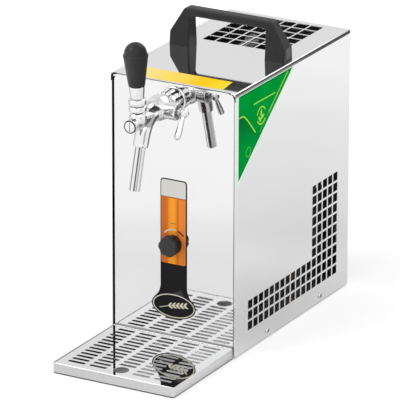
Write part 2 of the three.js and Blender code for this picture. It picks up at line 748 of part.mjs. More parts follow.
function tapBody() {
  const swell = barrelShares.map(([r, d]) => [r * tap.bulb, d * tap.barrel]);
  const barrel = revolveForward([
    [0, tap.tailBack], [tap.tail, tap.tailBack], [tap.tail, tap.tailFront], ...swell, [0, tap.barrel],
  ]).translate([0, 0, tapZ]);
  const cylinder = rod(valve.radius, -valve.front, -valve.back, 0, valveZ);
  const dome = ball(lever.dome, 0, -lever.y, leverZ, 10);
  const housing = crossRod(comp.radius, 0, comp.reach, -comp.y, compZ, 14);
  const socket = spoutRod(spout.socket, spoutTop + spout.socketRise, spoutTop, 12);
  const body = join(barrel, cylinder, dome, housing, tapArm(), socket);
  return piece("tap_body", cut(body, ...tapBodyCuts()), looks.chrome);
}

// The arm that carries the beer from the barrel down to the spout.
function tapArm() {
  const start = new THREE.Vector3(0, -tap.barrel * armStartShare, valveZ);
  const bend = new THREE.Vector3(0, -tap.barrel * armBendShare, valveZ);
  const middle = new THREE.Vector3(0, ...spoutPoint(spoutTop + spout.armRise));
  const end = new THREE.Vector3(0, ...spoutPoint(spoutTop + spout.armSink));
  const swing = middle.lerp(end, -armSwingShare);
  return tube(new THREE.CubicBezierCurve3(start, bend, swing, end).getPoints(5), tap.arm, 10);
}

function tapBodyCuts() {
  const [y, side] = [-lever.y, lever.dome + overrun];
  const neckHalf = lever.neck + 2 * clearance;
  const slotTop = leverZ + lever.dome + overrun;
  const spoutEnd = spoutTop - overrun;
  return [
    rod(tap.bore, -valve.boreBack - tap.bore / 2, overrun, 0, tapZ, 10),
    rod(valve.bore, -valve.front - overrun, -valve.boreBack, 0, valveZ, 14),
    crossRod(lever.hub + 2 * clearance, -lever.hub, lever.hub, y, leverZ, 10),
    box(-neckHalf, neckHalf, y - lever.slotHalf, y + lever.slotHalf, leverZ, slotTop),
    crossRod(lever.pin + clearance, -side, side, y, leverZ, 8),
    crossRod(comp.bore, -comp.inner - 2 * clearance, comp.reach + overrun, -comp.y, compZ, 10),
    spoutRod(spout.bore, spoutTop + spout.boreRise, spoutEnd, 8),
    spoutRod(spout.radius + clearance, spoutTop + spout.depth, spoutEnd, 12),
  ];
}

function spoutTube() {
  const [high, low] = [spoutTop + spout.depth - clearance, spoutTop - spout.length];
  const body = spoutRod(spout.radius, high, low, 12);
  const bore = spoutRod(spout.bore, high + overrun, low - overrun, 8);
  return piece("spout_tube", body.subtract(bore), looks.chrome);
}

function valveCap() {
  const { radius, spigot, bevel, slot } = cap;
  const inner = valve.bore - clearance;
  const body = revolveForward([
    [0, capBack - spigot], [inner, capBack - spigot], [inner, capBack], [radius, capBack],
    [radius, capFront - bevel], [radius - bevel, capFront], [0, capFront],
  ]).translate([0, 0, valveZ]);
  const [half, reach] = [slot / 2, radius + overrun];
  const front = -capFront - overrun;
  const groove = box(-half, half, front, slot - capFront, valveZ - reach, valveZ + reach);
  return piece("valve_cap", body.subtract(groove), looks.chrome);
}

function valvePlunger() {
  const { length, notchFront, notchBack, notchUp, groove, grooveDown } = plunger;
  const body = rod(plungerRadius, -plungerFront, length - plungerFront, 0, valveZ, 14);
  const [y, side, top] = [-lever.y, plungerRadius + overrun, valveZ + plungerRadius + overrun];
  const notch = box(-side, side, y - notchFront, y + notchBack, valveZ + notchUp, top);
  const drive = box(-side, side, y - groove, y + groove, valveZ - grooveDown, top);
  const sealGroove = sealRing(plungerRadius - seal.depth, side, clearance);
  return piece("valve_plunger", cut(body, notch, drive, sealGroove), looks.chrome);
}

// A ring round the plunger at its seal, wider at each face by grow.
function sealRing(inner, outer, grow) {
  const front = seal.front - plungerFront - grow;
  const back = seal.front + seal.width - plungerFront + grow;
  const hole = rod(inner, front - overrun, back + overrun, 0, valveZ, 14);
  return rod(outer, front, back, 0, valveZ, 14).subtract(hole);
}

function plungerSeal() {
  const inner = plungerRadius - seal.depth + clearance;
  const outer = (plungerRadius + valve.bore) / 2;
  return piece("plunger_seal", sealRing(inner, outer, 0), looks.blackRubber);
}

function leverPin() {
  const half = Math.sqrt(lever.dome ** 2 - lever.pin ** 2) - clearance;
  const body = crossRod(lever.pin, -half, half, -lever.y, leverZ, 8);
  return piece("lever_pivot_pin", body, looks.chrome);
}

function leverStem() {
  const { low, radius, bevel, ringOne, ringTwo, groove, grooveWidth, waist, top, topIn } = stem;
  const head = revolve([
    [0, low], [radius - bevel, low], [radius, low + bevel], [radius, ringOne - groove / 2],
    [radius - groove, ringOne], [radius - groove, ringOne + grooveWidth],
    [radius, ringOne + grooveWidth + groove / 2], [radius, ringTwo - groove],
    [radius - waist, ringTwo], [radius - topIn, top], [stem.stud, top],
    [stem.stud, top + stem.studLength], [0, top + stem.studLength],
  ], 14);
  const cup = ball(lever.dome + lever.cupGap, 0, 0, 0, 14);
  const neck = disc(lever.neck, 0, low + 2 * bevel, 8);
  const upper = join(cut(head, cup), neck).rotate([lever.lean / radians, 0, 0]);
  const hub = crossRod(lever.hub, -lever.hub + lever.pin / 2, lever.hub - lever.pin / 2, 0, 0, 10);
  const reach = leverZ - valveZ;
  const tail = disc(lever.tail, -reach, 0, 6);
  const tip = ball(lever.ball, 0, 0, -reach, 8);
  const pinBore = crossRod(lever.pin + clearance, -lever.dome, lever.dome, 0, 0, 8);
  const body = join(upper, hub, tail, tip).subtract(pinBore);
  return piece("lever_stem", body, looks.chrome, 0, -lever.y, leverZ);
}

function leverKnob() {
  const { foot: footRadius, bevel, rim, dome, cone, height, round, step } = knob;
  const pairs = [[0, 0], [footRadius - bevel, 0], [footRadius, bevel], [rim, cone - round]];
  pairs.push([rim, cone], [dome, cone + step]);
  const steps = 5;
  for (let i = 1; i <= steps; i++) {
    const angle = (i / steps) * 90 * radians;
    const radius = i < steps ? dome * Math.cos(angle) : 0;
    pairs.push([radius, cone + step + (height - cone - step) * Math.sin(angle)]);
  }
  const bore = disc(stem.stud + clearance, -overrun, stem.studLength + clearance, 12);
  const body = revolve(pairs).subtract(bore).translate([0, 0, stem.top + clearance])
    .rotate([lever.lean / radians, 0, 0]);
  return piece("lever_knob", body, looks.blackPlastic, 0, -lever.y, leverZ);
}

// A round bar that hangs from the compensator's ball, starting at a distance along it.
function hangingRod(pairs, segments) {
  const { lean, socket } = hanger;
  const y = -comp.y - Math.sin(lean) * socket;
  return revolve(pairs, segments)
    .rotate([180 - lean / radians, 0, 0])
    .translate([comp.ballX, y, compZ - Math.cos(lean) * socket]);
}

function compSpindle() {
  const { ballX, spindle, flat } = comp;
  const shaft = crossRod(spindle, -comp.inner, ballX, -comp.y, compZ, 10);
  const collar = crossRod(comp.collar, comp.reach + clearance, ballX, -comp.y, compZ, 12);
  const head = ball(comp.ball, ballX, -comp.y, compZ, 12);
  const side = spindle + overrun;
  const throttle = box(-tap.bore, tap.bore, -comp.y - side, side - comp.y, compZ + flat, compZ + side);
  const [radius, depth] = [hanger.root + clearance, comp.ball + overrun];
  const socket = hangingRod([[0, 0], [radius, 0], [radius, depth], [0, depth]], 10);
  const body = cut(join(shaft, collar, head), throttle, socket);
  return piece("compensator_spindle", body, looks.chrome);
}

function compLever() {
  const { root, tip, length, tipLength, bevel } = hanger;
  const body = hangingRod([
    [0, clearance], [root, clearance], [root, comp.ball + tip / 2], [tip, length - tipLength],
    [tip, length - tip], [tip - bevel, length - bevel], [0, length],
  ], 12);
  return piece("compensator_lever", body, looks.chrome);
}

// Thermostat

function thermostatGroup() {
  const group = new THREE.Group();
  group.position.set(0, panel.recess, dial.z);
  group.add(dialKnob(), dialShaft(), thermostatHousing());
  return group;
}

function dialKnob() {
  const { radius, reach, skirtDepth, flutes, fluteDepth, bevel } = dial;
  const outline = star(flutes * 3, (i) => (i % 3 ? radius : radius - fluteDepth));
  const fluted = elevation(outline, -reach, -skirtDepth);
  const rounded = revolveForward([
    [0, 0], [radius, 0], [radius, reach - bevel], [radius - bevel, reach], [0, reach],
  ], flutes * 3);
  const skirt = rod(dial.skirt, -skirtDepth - dial.gap, -dial.gap, 0, 0, 20);
  const bore = rod(dial.shaft + clearance, dial.face - reach, overrun, 0, 0, 12);
  return piece("thermostat_knob", cut(join(fluted.intersect(rounded), skirt), bore), looks.blackPlastic);
}

function dialShaft() {
  const front = dial.face - dial.reach + clearance;
  const body = rod(dial.shaft, front, cabinet.sheet + dial.shaftDepth, 0, 0, 12);
  return piece("thermostat_shaft", body, looks.chrome);
}

function thermostatHousing() {
  const [half, front] = [dial.body / 2, cabinet.sheet + clearance];
  const body = box(-half, half, front, front + dial.bodyDepth, -half, half);
  const collar = rod(dial.collar, -dial.collarOut, front + dial.gap, 0, 0);
  const end = cabinet.sheet + dial.shaftDepth + clearance;
  const bore = rod(dial.shaft + clearance, -dial.collarOut - overrun, end, 0, 0, 12);
  return piece("thermostat_housing", cut(join(body, collar), bore), looks.whitePlastic);
}

// Back of the cabinet

// A fitting clamped in the rear panel: flange outside, barrel through the hole, bore from outside.
function rearFitting(name, sizes, x, z, material) {
  const { radius, flange, reach, inside, bore } = sizes;
  const [start, face] = [-cabinet.sheet - inside, clearance + fitting.flange];
  const body = revolve([
    [0, start], [radius, start], [radius, clearance], [flange, clearance], [flange, face],
    [flange - fitting.bevel, face + fitting.bevel], [radius - fitting.neck, face + fitting.bevel],
    [radius - fitting.taper, reach], [0, reach],
  ], 12);
  const blind = disc(bore, fitting.floor, reach + overrun, 8);
  const turned = body.subtract(blind).rotate([-90, 0, 0]);
  return piece(name, turned, material, x, rearPanelBack, z);
}

function switchFrame() {
  const { width, height, flange, wall, depth, rim, corner } = rocker;
  const [outer, tall] = [width + 2 * flange, height + 2 * flange];
  const face = clearance + rim;
  const plate = elevation(roundedRectangle(outer, tall, corner), clearance, face, 1);
  const tub = elevation(rectangle(width, height), -depth, face);
  const hollow = rectangle(width - 2 * wall, height - 2 * wall);
  const room = elevation(hollow, wall - depth, face + overrun);
  const body = cut(join(plate, tub), room, rockerAxle(clearance));
  return piece("switch_frame", body, looks.blackPlastic, rocker.x, rearPanelBack, rockerZ);
}

function rockerAxle(grow) {
  const half = rocker.width / 2 - rocker.wall + rocker.axleSeat - clearance + grow;
  return crossRod(rocker.axle + grow, -half, half, -rocker.axleDepth, 0, 10);
}

function switchRocker() {
  const { tailDepth, tailHalf, root, face, reach, axleDepth } = rocker;
  const half = rocker.height / 2 - rocker.wall - rocker.endGap;
  const wide = rocker.width / 2 - rocker.wall - clearance;
  const outline = polygon([
    [-tailDepth, -tailHalf], [-tailDepth, tailHalf], [root, half], [reach, half],
    [face, 0], [reach, -half], [root, -half],
  ]);
  const level = profile(outline, -wide, wide).add(rockerAxle(0));
  // It lies with one end pressed in, which is off.
  const body = level.translate([0, axleDepth, 0])
    .rotate([rocker.throw / radians, 0, 0]).translate([0, -axleDepth, 0]);
  return piece("switch_rocker", body, looks.blackPlastic, rocker.x, rearPanelBack, rockerZ);
}

// Cooling system

function grommetPlaces() {
  const { legs } = compressor;
  return [[-1, -1], [1, -1], [-1, 1], [1, 1]].map(([i, j]) => {
    return [compressorX + i * legs, compressorY + j * legs];
  });
}

function compressorGrommets() {
  const names = ["front_left", "front_right", "rear_left", "rear_right"];
  const low = baseTop + clearance;
  const shoulder = baseTop + compressor.lift - clearance;
  const [start, end] = [base.floor - grommet.foot, shoulder + compressor.plate + grommet.tip];
  const body = revolve([
    [0, start], [grommet.neck, start], [grommet.neck, low], [grommet.radius, low],
    [grommet.radius, shoulder], [grommet.neck, shoulder], [grommet.neck, end], [0, end],
  ], 8);
  return grommetPlaces().map(([x, y], i) => {
    return piece("compressor_mount_" + names[i], body, looks.blackRubber, x, y);
  });
}

function compressorBody() {
  const { radius, height, seam, seamReach, plate, lift } = compressor;
  const low = baseTop + lift;
  const [bottom, seamLow] = [low + compressor.rise, low + height * seamShare];
  const shell = revolve([
    [0, bottom], [radius - compressor.curve, bottom], [radius, low + compressor.curve],
    [radius, seamLow], [radius + seamReach, seamLow], [radius + seamReach, seamLow + seam],
    [radius, seamLow + seam], ...shellShares.map(([r, h]) => [r * radius, low + h * height]),
    [0, low + height],
  ]);
  const side = 2 * (compressor.legs + compressor.lug);
  const feetPlate = plan(roundedRectangle(side, side, compressor.lug), low, low + plate);
  const bores = grommetPlaces().map(([x, y]) => {
    const bore = disc(grommet.neck + clearance, low - overrun, low + plate + overrun, 8);
    return bore.translate([x - compressorX, y - compressorY, 0]);
  });
  const body = join(shell, cut(feetPlate, ...bores));
  return piece("compressor", body, looks.paintedBlack, compressorX, compressorY);
}

// The box of the starting relay, hollowed at the back so that it sits on the shell of the compressor.
function relayBox() {
  const { width, depth, height, low, corner, sink } = relay;
  const left = compressorReach - sink;
  const shape = roundedRectangle(width, depth, corner, left + width / 2, 0);
  const seamLow = baseTop + compressor.lift + compressor.height * seamShare - clearance;
  const seamHigh = seamLow + compressor.seam + 2 * clearance;
  const body = cut(
    plan(shape, low, low + height),
    disc(compressor.radius + clearance, low - overrun, low + height + overrun),
    disc(compressorReach + clearance, seamLow, seamHigh),
  );
  return piece("relay_box", body, looks.blackPlastic, compressorX, compressorY);
}

function condenserCore() {
  const { height, fins, fin, spine } = condenser;
  const [half, low] = [condenserHalf, baseTop + clearance];
  const pitch = (2 * half - fin) / (fins - 1);
  const [near, far] = [condenserMiddle - spine / 2, condenserMiddle + spine / 2];
  const points = [];
  for (let i = 0; i < fins; i++) {
    const x = i * pitch - half;
    points.push([x, near], [x, condenserFront], [x + fin, condenserFront], [x + fin, near]);
  }
  for (let i = fins - 1; i >= 0; i--) {
    const x = i * pitch - half;
    points.push([x + fin, far], [x + fin, condenserBack], [x, condenserBack], [x, far]);
  }
  return piece("condenser", plan(polygon(points), low, low + height), looks.aluminium);
}

function fanPlate() {
  const [front, back] = [fanPlateY, fanPlateY + cabinet.sheet];
  const low = baseTop + clearance;
  const plate = box(-condenserHalf, condenserHalf, front, back, low, low + condenser.height);
  const opening = rod(fanOpening, front - overrun, back + overrun, 0, fan.z, 24);
  const lipBack = condenserFront - clearance;
  const lip = box(-condenserHalf, condenserHalf, front, lipBack, low, low + fan.lip);
  return piece("fan_plate", cut(plate, opening).add(lip), looks.brushedSteel);
}

function fanMotor() {
  const { motor, motorLength, arm, strap, z, shaft, shaftLength } = fan;
  const body = rod(motor, motorFront, motorBack, 0, z);
  const reach = fanOpening + overrun;
  const armFront = motorFront + motorLength / 2;
  const [low, high] = [z - arm / 2, z + arm / 2];
  const across = box(-reach, reach, armFront, armFront + strap, low, high);
  const seat = fanPlateY - clearance;
  const ends = [reach - strap, -reach].map((left) => {
    return box(left, left + strap, armFront, seat, low, high);
  });
  const bore = rod(shaft + clearance, motorBack - shaftLength, motorBack + overrun, 0, z, 12);
  return piece("fan_motor", cut(join(body, across, ...ends), bore), looks.paintedBlack);
}

function fanBlades() {
  const { hub, blades, pitch, bladeThick, shaft, shaftLength, depth, root, rootSink, tip } = fan;
  const blade = fanOpening - fan.tipGap;
  const centre = rod(hub, 0, depth, 0, 0);
  const spindle = rod(shaft, -shaftLength, depth / 2, 0, 0, 12);
  const foot = hub - rootSink;
  const [leading, trailing] = tipShares.map((share) => share * blade);
  const outline = polygon([[-root, foot], [root, foot], [tip, leading], [0, blade], [-tip, trailing]]);
  const half = bladeThick / 2;
  const paddle = elevation(outline, -half, half).rotate([0, 0, pitch / radians]);
  let body = centre.add(spindle);
  for (let i = 0; i < blades; i++) {
    body = body.add(paddle.rotate([0, (360 * i) / blades, 0]).translate([0, depth / 2, 0]));
  }
  return piece("fan_blades", body, looks.blackPlastic, 0, fanHubBack - depth, fan.z);
}

function coolingShelf() {
  const half = innerHalf - clearance;
  const inner = half - cabinet.sheet;
  const { front, back, flange } = shelf;
  const low = shelfZ - flange;
  const outer = box(-half, half, front, back, low, shelfZ);
  const [start, end] = [front - overrun, back + overrun];
  const hollow = box(-inner, inner, start, end, low - overrun, shelfZ - cabinet.sheet);
  return piece("cooling_shelf", outer.subtract(hollow), looks.brushedSteel);
}

function wrapOutline() {
  const length = block.back - block.front + 2 * wrap.wall;
  const middle = (block.front + block.back) / 2;
  return roundedRectangle(2 * (blockHalf + wrap.wall), length, wrap.corner, 0, middle);
}

function insulation() {
  const high = blockTop + wrap.rim;
  const outer = plan(wrapOutline(), shelfZ + clearance, high);
  const half = blockHalf + wrap.gap;
  const [front, back] = [block.front - wrap.gap, block.back + wrap.gap];
  const room = box(-half, half, front, back, blockBottom - wrap.gap, high + overrun);
  return piece("block_insulation", outer.subtract(room), looks.foam);
}

// The lid of the cooling block's insulation, with a hole for each pipe.
function insulationLid() {
  const [low, high] = [lidTop - wrap.lid, lidTop];
  const tools = [beerOutPort, beerInPort, gasPort].map(([x, y]) => {
    const radius = pipe.beer + 2 * clearance;
    return disc(radius, low - overrun, high + overrun, 8).translate([x, y, 0]);
  });
  return piece("insulation_lid", cut(plan(wrapOutline(), low, high), ...tools), looks.foam);
}

function coolingBlock() {
  const { front, back, corner } = block;
  const outline = roundedRectangle(2 * blockHalf, back - front, corner, 0, (front + back) / 2);
  return piece("cooling_block", plan(outline, blockBottom, blockTop), looks.aluminium);
}

// Where the pipes enter the cooling block, as shares of the way across and along it
const portShares = [[0.5, 0.535], [0.19, 0.837], [0.4, 0.86]];
const [beerOutPort, beerInPort, gasPort] = portShares.map(([across, along]) => {
  return [(2 * across - 1) * blockHalf, block.front + along * (block.back - block.front)];
});
const portZ = blockTop + clearance;
const gasTopZ = tapZ + pipe.gasRise;

function beerLineOut() {
  const start = [0, panel.recess + tap.shankInside + clearance, tapZ];
  const corners = [start, [...beerOutPort, tapZ], [...beerOutPort, portZ]];
  return piece("beer_line_to_tap", tube(bentLine(corners, pipe.bend), pipe.beer), looks.clearTube);
}

function beerLineIn() {
  const portY = rearPanelFront - inlet.inside - clearance;
  const [x, y] = beerInPort;
  const corners = [
    [inlet.x, portY, inletZ], [inlet.x, portY - pipe.beerRun, inletZ],
    [inlet.x, portY - 2 * pipe.beerRun, tapZ], [x, y + 2 * pipe.tubeGap, tapZ],
    [x, y, tapZ], [x, y, portZ],
  ];
  const body = tube(bentLine(corners, pipe.gasBend), pipe.beer);
  return piece("beer_line_from_inlet", body, looks.clearTube);
}

function dischargePipe() {
  const { radius, discharge } = compressor;
  const [x, y] = [compressorX + discharge[0], compressorY + discharge[1]];
  const z = compressorTop + 3 * pipe.gasBend;
  const outside = condenserHalf + 3 * pipe.gas;
  const corners = [
    [x, y, compressorTop + clearance], [x, y, z], [compressorX + radius, y, z],
    [outside, compressorY + radius, z], [outside, condenserMiddle, z],
    [condenserHalf + clearance, condenserMiddle, z],
  ];
  return piece("discharge_pipe", tube(bentLine(corners, pipe.gasBend), pipe.gas), looks.copper);
}

function suctionPipe() {
  const { suction } = compressor;
  const [x, y] = [compressorX + suction[0], compressorY + suction[1]];
  const z = compressorTop + 3 * pipe.gasBend;
  const outside = -(blockHalf + wrap.wall + pipe.tubeGap);
  const behind = shelf.back + 2 * pipe.tubeGap;
  const corners = [
    [x, y, compressorTop + clearance], [x, y, z], [outside, behind, z],
    [outside, behind, gasTopZ], [gasPort[0], block.back + pipe.tubeGap, gasTopZ],
    [...gasPort, gasTopZ], [...gasPort, portZ],
  ];
  return piece("suction_pipe", tube(bentLine(corners, pipe.gasBend), pipe.gas), looks.copper);
}

function filterDrier() {
  const { radius, plateGap, low, high, shoulder, end, inset } = drier;
  const y = fanPlateY - plateGap - radius;
  const bottom = baseTop + clearance;
  const body = revolve([
    [0, bottom], [pipe.gas, bottom], [pipe.gas, low - shoulder], [radius, low], [radius, high],
    [pipe.gas, high + shoulder], [pipe.gas, end], [0, end],
  ], 12);
  return piece("filter_drier", body, looks.copper, condenserHalf - inset, y);
}

const dispenser = new THREE.Group();
dispenser.add(
  topCover(), sidePanel("left_side_panel", -1), sidePanel("right_side_panel", 1),
  frontPanel(), frontGasket(), rearPanel(), basePan(), ...feet(), ...sideScrewSet(),
  carryHandle(), ...handleScrews(), dripTray(), dripGrid(), tapGroup(), thermostatGroup(),
  rearFitting("beer_inlet", inlet, inlet.x, inletZ, looks.whitePlastic),
  rearFitting("cord_gland", gland, glandX, gland.up, looks.blackPlastic),
  switchFrame(), switchRocker(), ...compressorGrommets(), compressorBody(), relayBox(),
  condenserCore(), fanPlate(), fanMotor(), fanBlades(), coolingShelf(), insulation(),
  insulationLid(), coolingBlock(), beerLineOut(), beerLineIn(), dischargePipe(), suctionPipe(),
  filterDrier(),
);
// The part's origin is on the counter, at the middle of its whole length.
dispenser.position.y = (tray.reach - rearPanelBack - inlet.reach) / 2;

export default dispenser;
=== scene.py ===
"""Looks for a countertop draft beer cooler: camera, studio, materials and the finer pieces.

Sizes of pieces are in millimetres in the cabinet's own frame, whose front edge is at y = 0 and
whose feet stand at z = 0. place() turns them into the row's frame, in metres.
"""
import json
import math

import bmesh
import bpy
from mathutils import Matrix, Vector


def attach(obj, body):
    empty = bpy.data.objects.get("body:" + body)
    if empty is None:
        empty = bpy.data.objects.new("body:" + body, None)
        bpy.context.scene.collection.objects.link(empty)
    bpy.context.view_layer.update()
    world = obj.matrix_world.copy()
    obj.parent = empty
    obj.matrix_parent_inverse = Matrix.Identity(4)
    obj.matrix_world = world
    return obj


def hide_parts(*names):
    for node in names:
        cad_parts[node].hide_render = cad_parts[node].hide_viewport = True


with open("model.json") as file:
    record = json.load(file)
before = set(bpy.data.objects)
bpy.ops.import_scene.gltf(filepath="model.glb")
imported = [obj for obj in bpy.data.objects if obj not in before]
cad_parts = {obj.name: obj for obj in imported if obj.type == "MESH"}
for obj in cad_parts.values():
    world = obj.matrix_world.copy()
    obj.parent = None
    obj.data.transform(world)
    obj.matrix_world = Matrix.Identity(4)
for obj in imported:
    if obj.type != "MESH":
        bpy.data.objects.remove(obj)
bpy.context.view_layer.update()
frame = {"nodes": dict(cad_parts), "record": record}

MM = 0.001
SHIFT = Vector((0.0, -82.5, 0.0))
SCENE = bpy.context.scene
TAU = math.tau

# Places and sizes that the solids also have
CASE_WIDTH, CASE_DEPTH, CASE_TOP = 176, 302, 347
FACE = 2.0
TAP = Vector((0, FACE, 325.5))
VALVE_Z = 321.5
LEVER = Vector((0, -86, 328))
SPOUT_TOP = Vector((0, -80, 289))
SPOUT_LEAN = math.radians(16)
SPOUT_WAY = Vector((0, -math.sin(SPOUT_LEAN), -math.cos(SPOUT_LEAN)))
COMP = Vector((0, -36.6, 325))
COMP_LEAN = math.radians(33)
DIAL = Vector((0, FACE, 137))
HANDLE_Y = 146
LEVER_LEAN = math.radians(4)
LEVER_WAY = Vector((0, -math.sin(LEVER_LEAN), math.cos(LEVER_LEAN)))
TRAY_MIDDLE = -75.2
OUTWARD, ACROSS, UPWARD = (0, -1, 0), (1, 0, 0), (0, 0, 1)


def place(point):
    return (Vector(point) + SHIFT) * MM


# Camera

def add_camera():
    """The photograph's camera, as its corners gave it for a frame of 400 pixels."""
    azimuth, elevation, roll = (math.radians(angle) for angle in (29.18, 19.74, 0.12))
    target, distance = Vector((-0.0176, 0.0175, 0.1605)), 5.969
    sensor, focal_pixels, frame_pixels = 36, 4743, 400
    flat = math.cos(elevation)
    back = Vector((math.sin(azimuth) * flat, -math.cos(azimuth) * flat, math.sin(elevation)))
    data = bpy.data.cameras.new("camera")
    data.sensor_width = sensor
    data.lens = sensor * focal_pixels / frame_pixels
    data.clip_end = 60
    camera = bpy.data.objects.new("camera", data)
    camera.location = target + back * distance
    turn = back.to_track_quat("Z", "Y").to_matrix() @ Matrix.Rotation(roll, 3, "Z")
    camera.rotation_euler = turn.to_euler()
    SCENE.collection.objects.link(camera)
    SCENE.camera = camera


# Studio

def ramp_node(nodes, stops, smooth=True):
    """A colour ramp through pairs of place and level, which is a grey or a colour."""
    node = nodes.new("ShaderNodeValToRGB")
    node.color_ramp.interpolation = "EASE" if smooth else "LINEAR"
    elements = node.color_ramp.elements
    while len(elements) < len(stops):
        elements.new(0.5)
    for element, (at, level) in zip(elements, sorted(stops)):
        element.position = at
        colour = level if isinstance(level, tuple) else (level, level, level)
        element.color = (*colour, 1)
    return node


def math_node(nodes, links, operation, first, second=None, third=None):
    node = nodes.new("ShaderNodeMath")
    node.operation = operation
    for socket, value in zip(node.inputs, (first, second, third)):
        if value is None:
            continue
        if isinstance(value, (int, float)):
            socket.default_value = value
        else:
            links.new(value, socket)
    return node.outputs[0]


def dot_node(nodes, links, vector, way):
    """How far a vector reaches along a direction."""
    node = nodes.new("ShaderNodeVectorMath")
    node.operation = "DOT_PRODUCT"
    node.inputs[1].default_value = way
    links.new(vector, node.inputs[0])
    return node.outputs["Value"]


def multiply_node(nodes, links, first, second, factor=None):
    """The product of two colours, as far as factor lets it act."""
    mix = nodes.new("ShaderNodeMix")
    mix.data_type = "RGBA"
    mix.blend_type = "MULTIPLY"
    if factor is None:
        mix.inputs["Factor"].default_value = 1
    else:
        links.new(factor, mix.inputs["Factor"])
    links.new(first, mix.inputs["A"])
    links.new(second, mix.inputs["B"])
    return mix.outputs["Result"]


def add_world():
    """White for the camera; what metal sees is a little greyer between the soft boxes."""
    world = bpy.data.worlds.new("studio")
    SCENE.world = world
    world.use_nodes = True
    nodes, links = world.node_tree.nodes, world.node_tree.links
    nodes.clear()
    coordinates = nodes.new("ShaderNodeTexCoord")
    axes = nodes.new("ShaderNodeSeparateXYZ")
    links.new(coordinates.outputs["Generated"], axes.inputs[0])
    front = math_node(nodes, links, "MULTIPLY", axes.outputs["Y"], -1.0)
    around = math_node(nodes, links, "ARCTAN2", axes.outputs["X"], front)
    turned = math_node(nodes, links, "MULTIPLY_ADD", around, 1 / TAU, 0.5)
    boxes = ramp_node(nodes, AROUND_STOPS)
    links.new(turned, boxes.inputs[0])
    height = math_node(nodes, links, "MULTIPLY_ADD", axes.outputs["Z"], 0.5, 0.5)
    bands = ramp_node(nodes, HEIGHT_STOPS)
    links.new(height, bands.inputs[0])
    studio = math_node(nodes, links, "MULTIPLY", boxes.outputs[0], bands.outputs[0])
    rays = nodes.new("ShaderNodeLightPath")
    glossy = math_node(nodes, links, "SUBTRACT", studio, 1.0)
    glossy = math_node(nodes, links, "MULTIPLY", glossy, rays.outputs["Is Glossy Ray"])
    seen = math_node(nodes, links, "ADD", glossy, 1.0)
    shown = math_node(nodes, links, "MAXIMUM", rays.outputs["Is Camera Ray"],
                      rays.outputs["Is Glossy Ray"])
    shown = math_node(nodes, links, "MAXIMUM", shown, rays.outputs["Is Transmission Ray"])
    dim = math_node(nodes, links, "MULTIPLY", shown, 1 - WORLD_LIGHT)
    level = math_node(nodes, links, "ADD", dim, WORLD_LIGHT)
    background = nodes.new("ShaderNodeBackground")
    background.inputs["Color"].default_value = (1, 1, 1, 1)
    links.new(math_node(nodes, links, "MULTIPLY", seen, level), background.inputs["Strength"])
    output = nodes.new("ShaderNodeOutputWorld")
    links.new(background.outputs[0], output.inputs["Surface"])


WORLD_LIGHT = 0.72
# Place round the horizon, 0.5 straight ahead of the front, and grey level
AROUND_STOPS = [
    (0.0, 0.8), (0.13, 0.84), (0.19, 0.95), (0.22, 0.55), (0.245, 0.55), (0.27, 0.95), (0.4, 1.0),
    (0.62, 1.0), (0.66, 0.5), (0.7, 0.5), (0.73, 1.0), (0.85, 0.95), (1.0, 0.8),
]
# Height from straight below to straight above, and grey level
HEIGHT_STOPS = [(0.0, 1.0), (0.5, 1.0), (0.7, 0.97), (0.85, 0.95), (1.0, 0.85)]


def add_lamps():
    aim, size = Vector((0, 0, 0.1)), 4.0
    lamps = [
        ("key", (-4.2, -4.6, 6.2), 210), ("fill", (4.4, -3.0, 4.4), 70),
        ("back", (1.2, 5.2, 5.4), 80),
    ]
    for name, spot, power in lamps:
        data = bpy.data.lights.new(name, "AREA")
        data.energy = power
        data.size = size
        lamp = bpy.data.objects.new(name, data)
        lamp.location = spot
        lamp.rotation_euler = (Vector(spot) - aim).to_track_quat("Z", "Y").to_euler()
        SCENE.collection.objects.link(lamp)


def add_floor():
    """A white ground: cameras and mirrors see it a little brighter, and it keeps its shadows;
    mirrors also see painted shade on it.
    """
    mesh = bpy.data.meshes.new("floor")
    far = 9
    corners = [(-far, -far, 0), (far, -far, 0), (far, far, 0), (-far, far, 0)]
    mesh.from_pydata(corners, [], [(0, 1, 2, 3)])
    floor = bpy.data.objects.new("floor", mesh)
    SCENE.collection.objects.link(floor)
    white = material("floor_white", (0.9, 0.9, 0.9), 0, 0.9, tint=0.004, bump=0,
                     Specular_IOR_Level=0.0, Emission_Color=(1, 1, 1, 1))
    nodes, links = white.node_tree.nodes, white.node_tree.links
    rays = nodes.new("ShaderNodeLightPath")
    # Painted shade that mirrors see on the ground
    painted_shade_in_mirrors(nodes, links, rays)
    mirrored = math_node(nodes, links, "MULTIPLY", rays.outputs["Is Glossy Ray"], MIRRORED_LIFT)
    seen = math_node(nodes, links, "MULTIPLY", rays.outputs["Is Camera Ray"], CAMERA_LIFT)
    lift = math_node(nodes, links, "ADD", mirrored, seen)
    links.new(lift, nodes["Principled BSDF"].inputs["Emission Strength"])
    mesh.materials.append(white)


def painted_shade_in_mirrors(nodes, links, rays):
    """Painted shade: metal sees the ground's colour darkened in bands on each side of the object,
    along a level line.
    """
    base = nodes["Principled BSDF"].inputs["Base Color"]
    geometry = nodes.new("ShaderNodeNewGeometry")
    along = dot_node(nodes, links, geometry.outputs["Position"], GROUND_LINE)
    at = math_node(nodes, links, "MULTIPLY_ADD", along, 1 / GROUND_REACH, 0.5)
    stops = [(metres / GROUND_REACH + 0.5, level) for metres, level in GROUND_STOPS]
    ramp = ramp_node(nodes, stops)
    links.new(at, ramp.inputs[0])
    shade = multiply_node(nodes, links, base.links[0].from_socket, ramp.outputs[0],
                          rays.outputs["Is Glossy Ray"])
    links.new(shade, base)


CAMERA_LIFT = 0.22
MIRRORED_LIFT = 0.04
GROUND_LINE = (0.488, 0.873, 0.0)
GROUND_REACH = 2.4
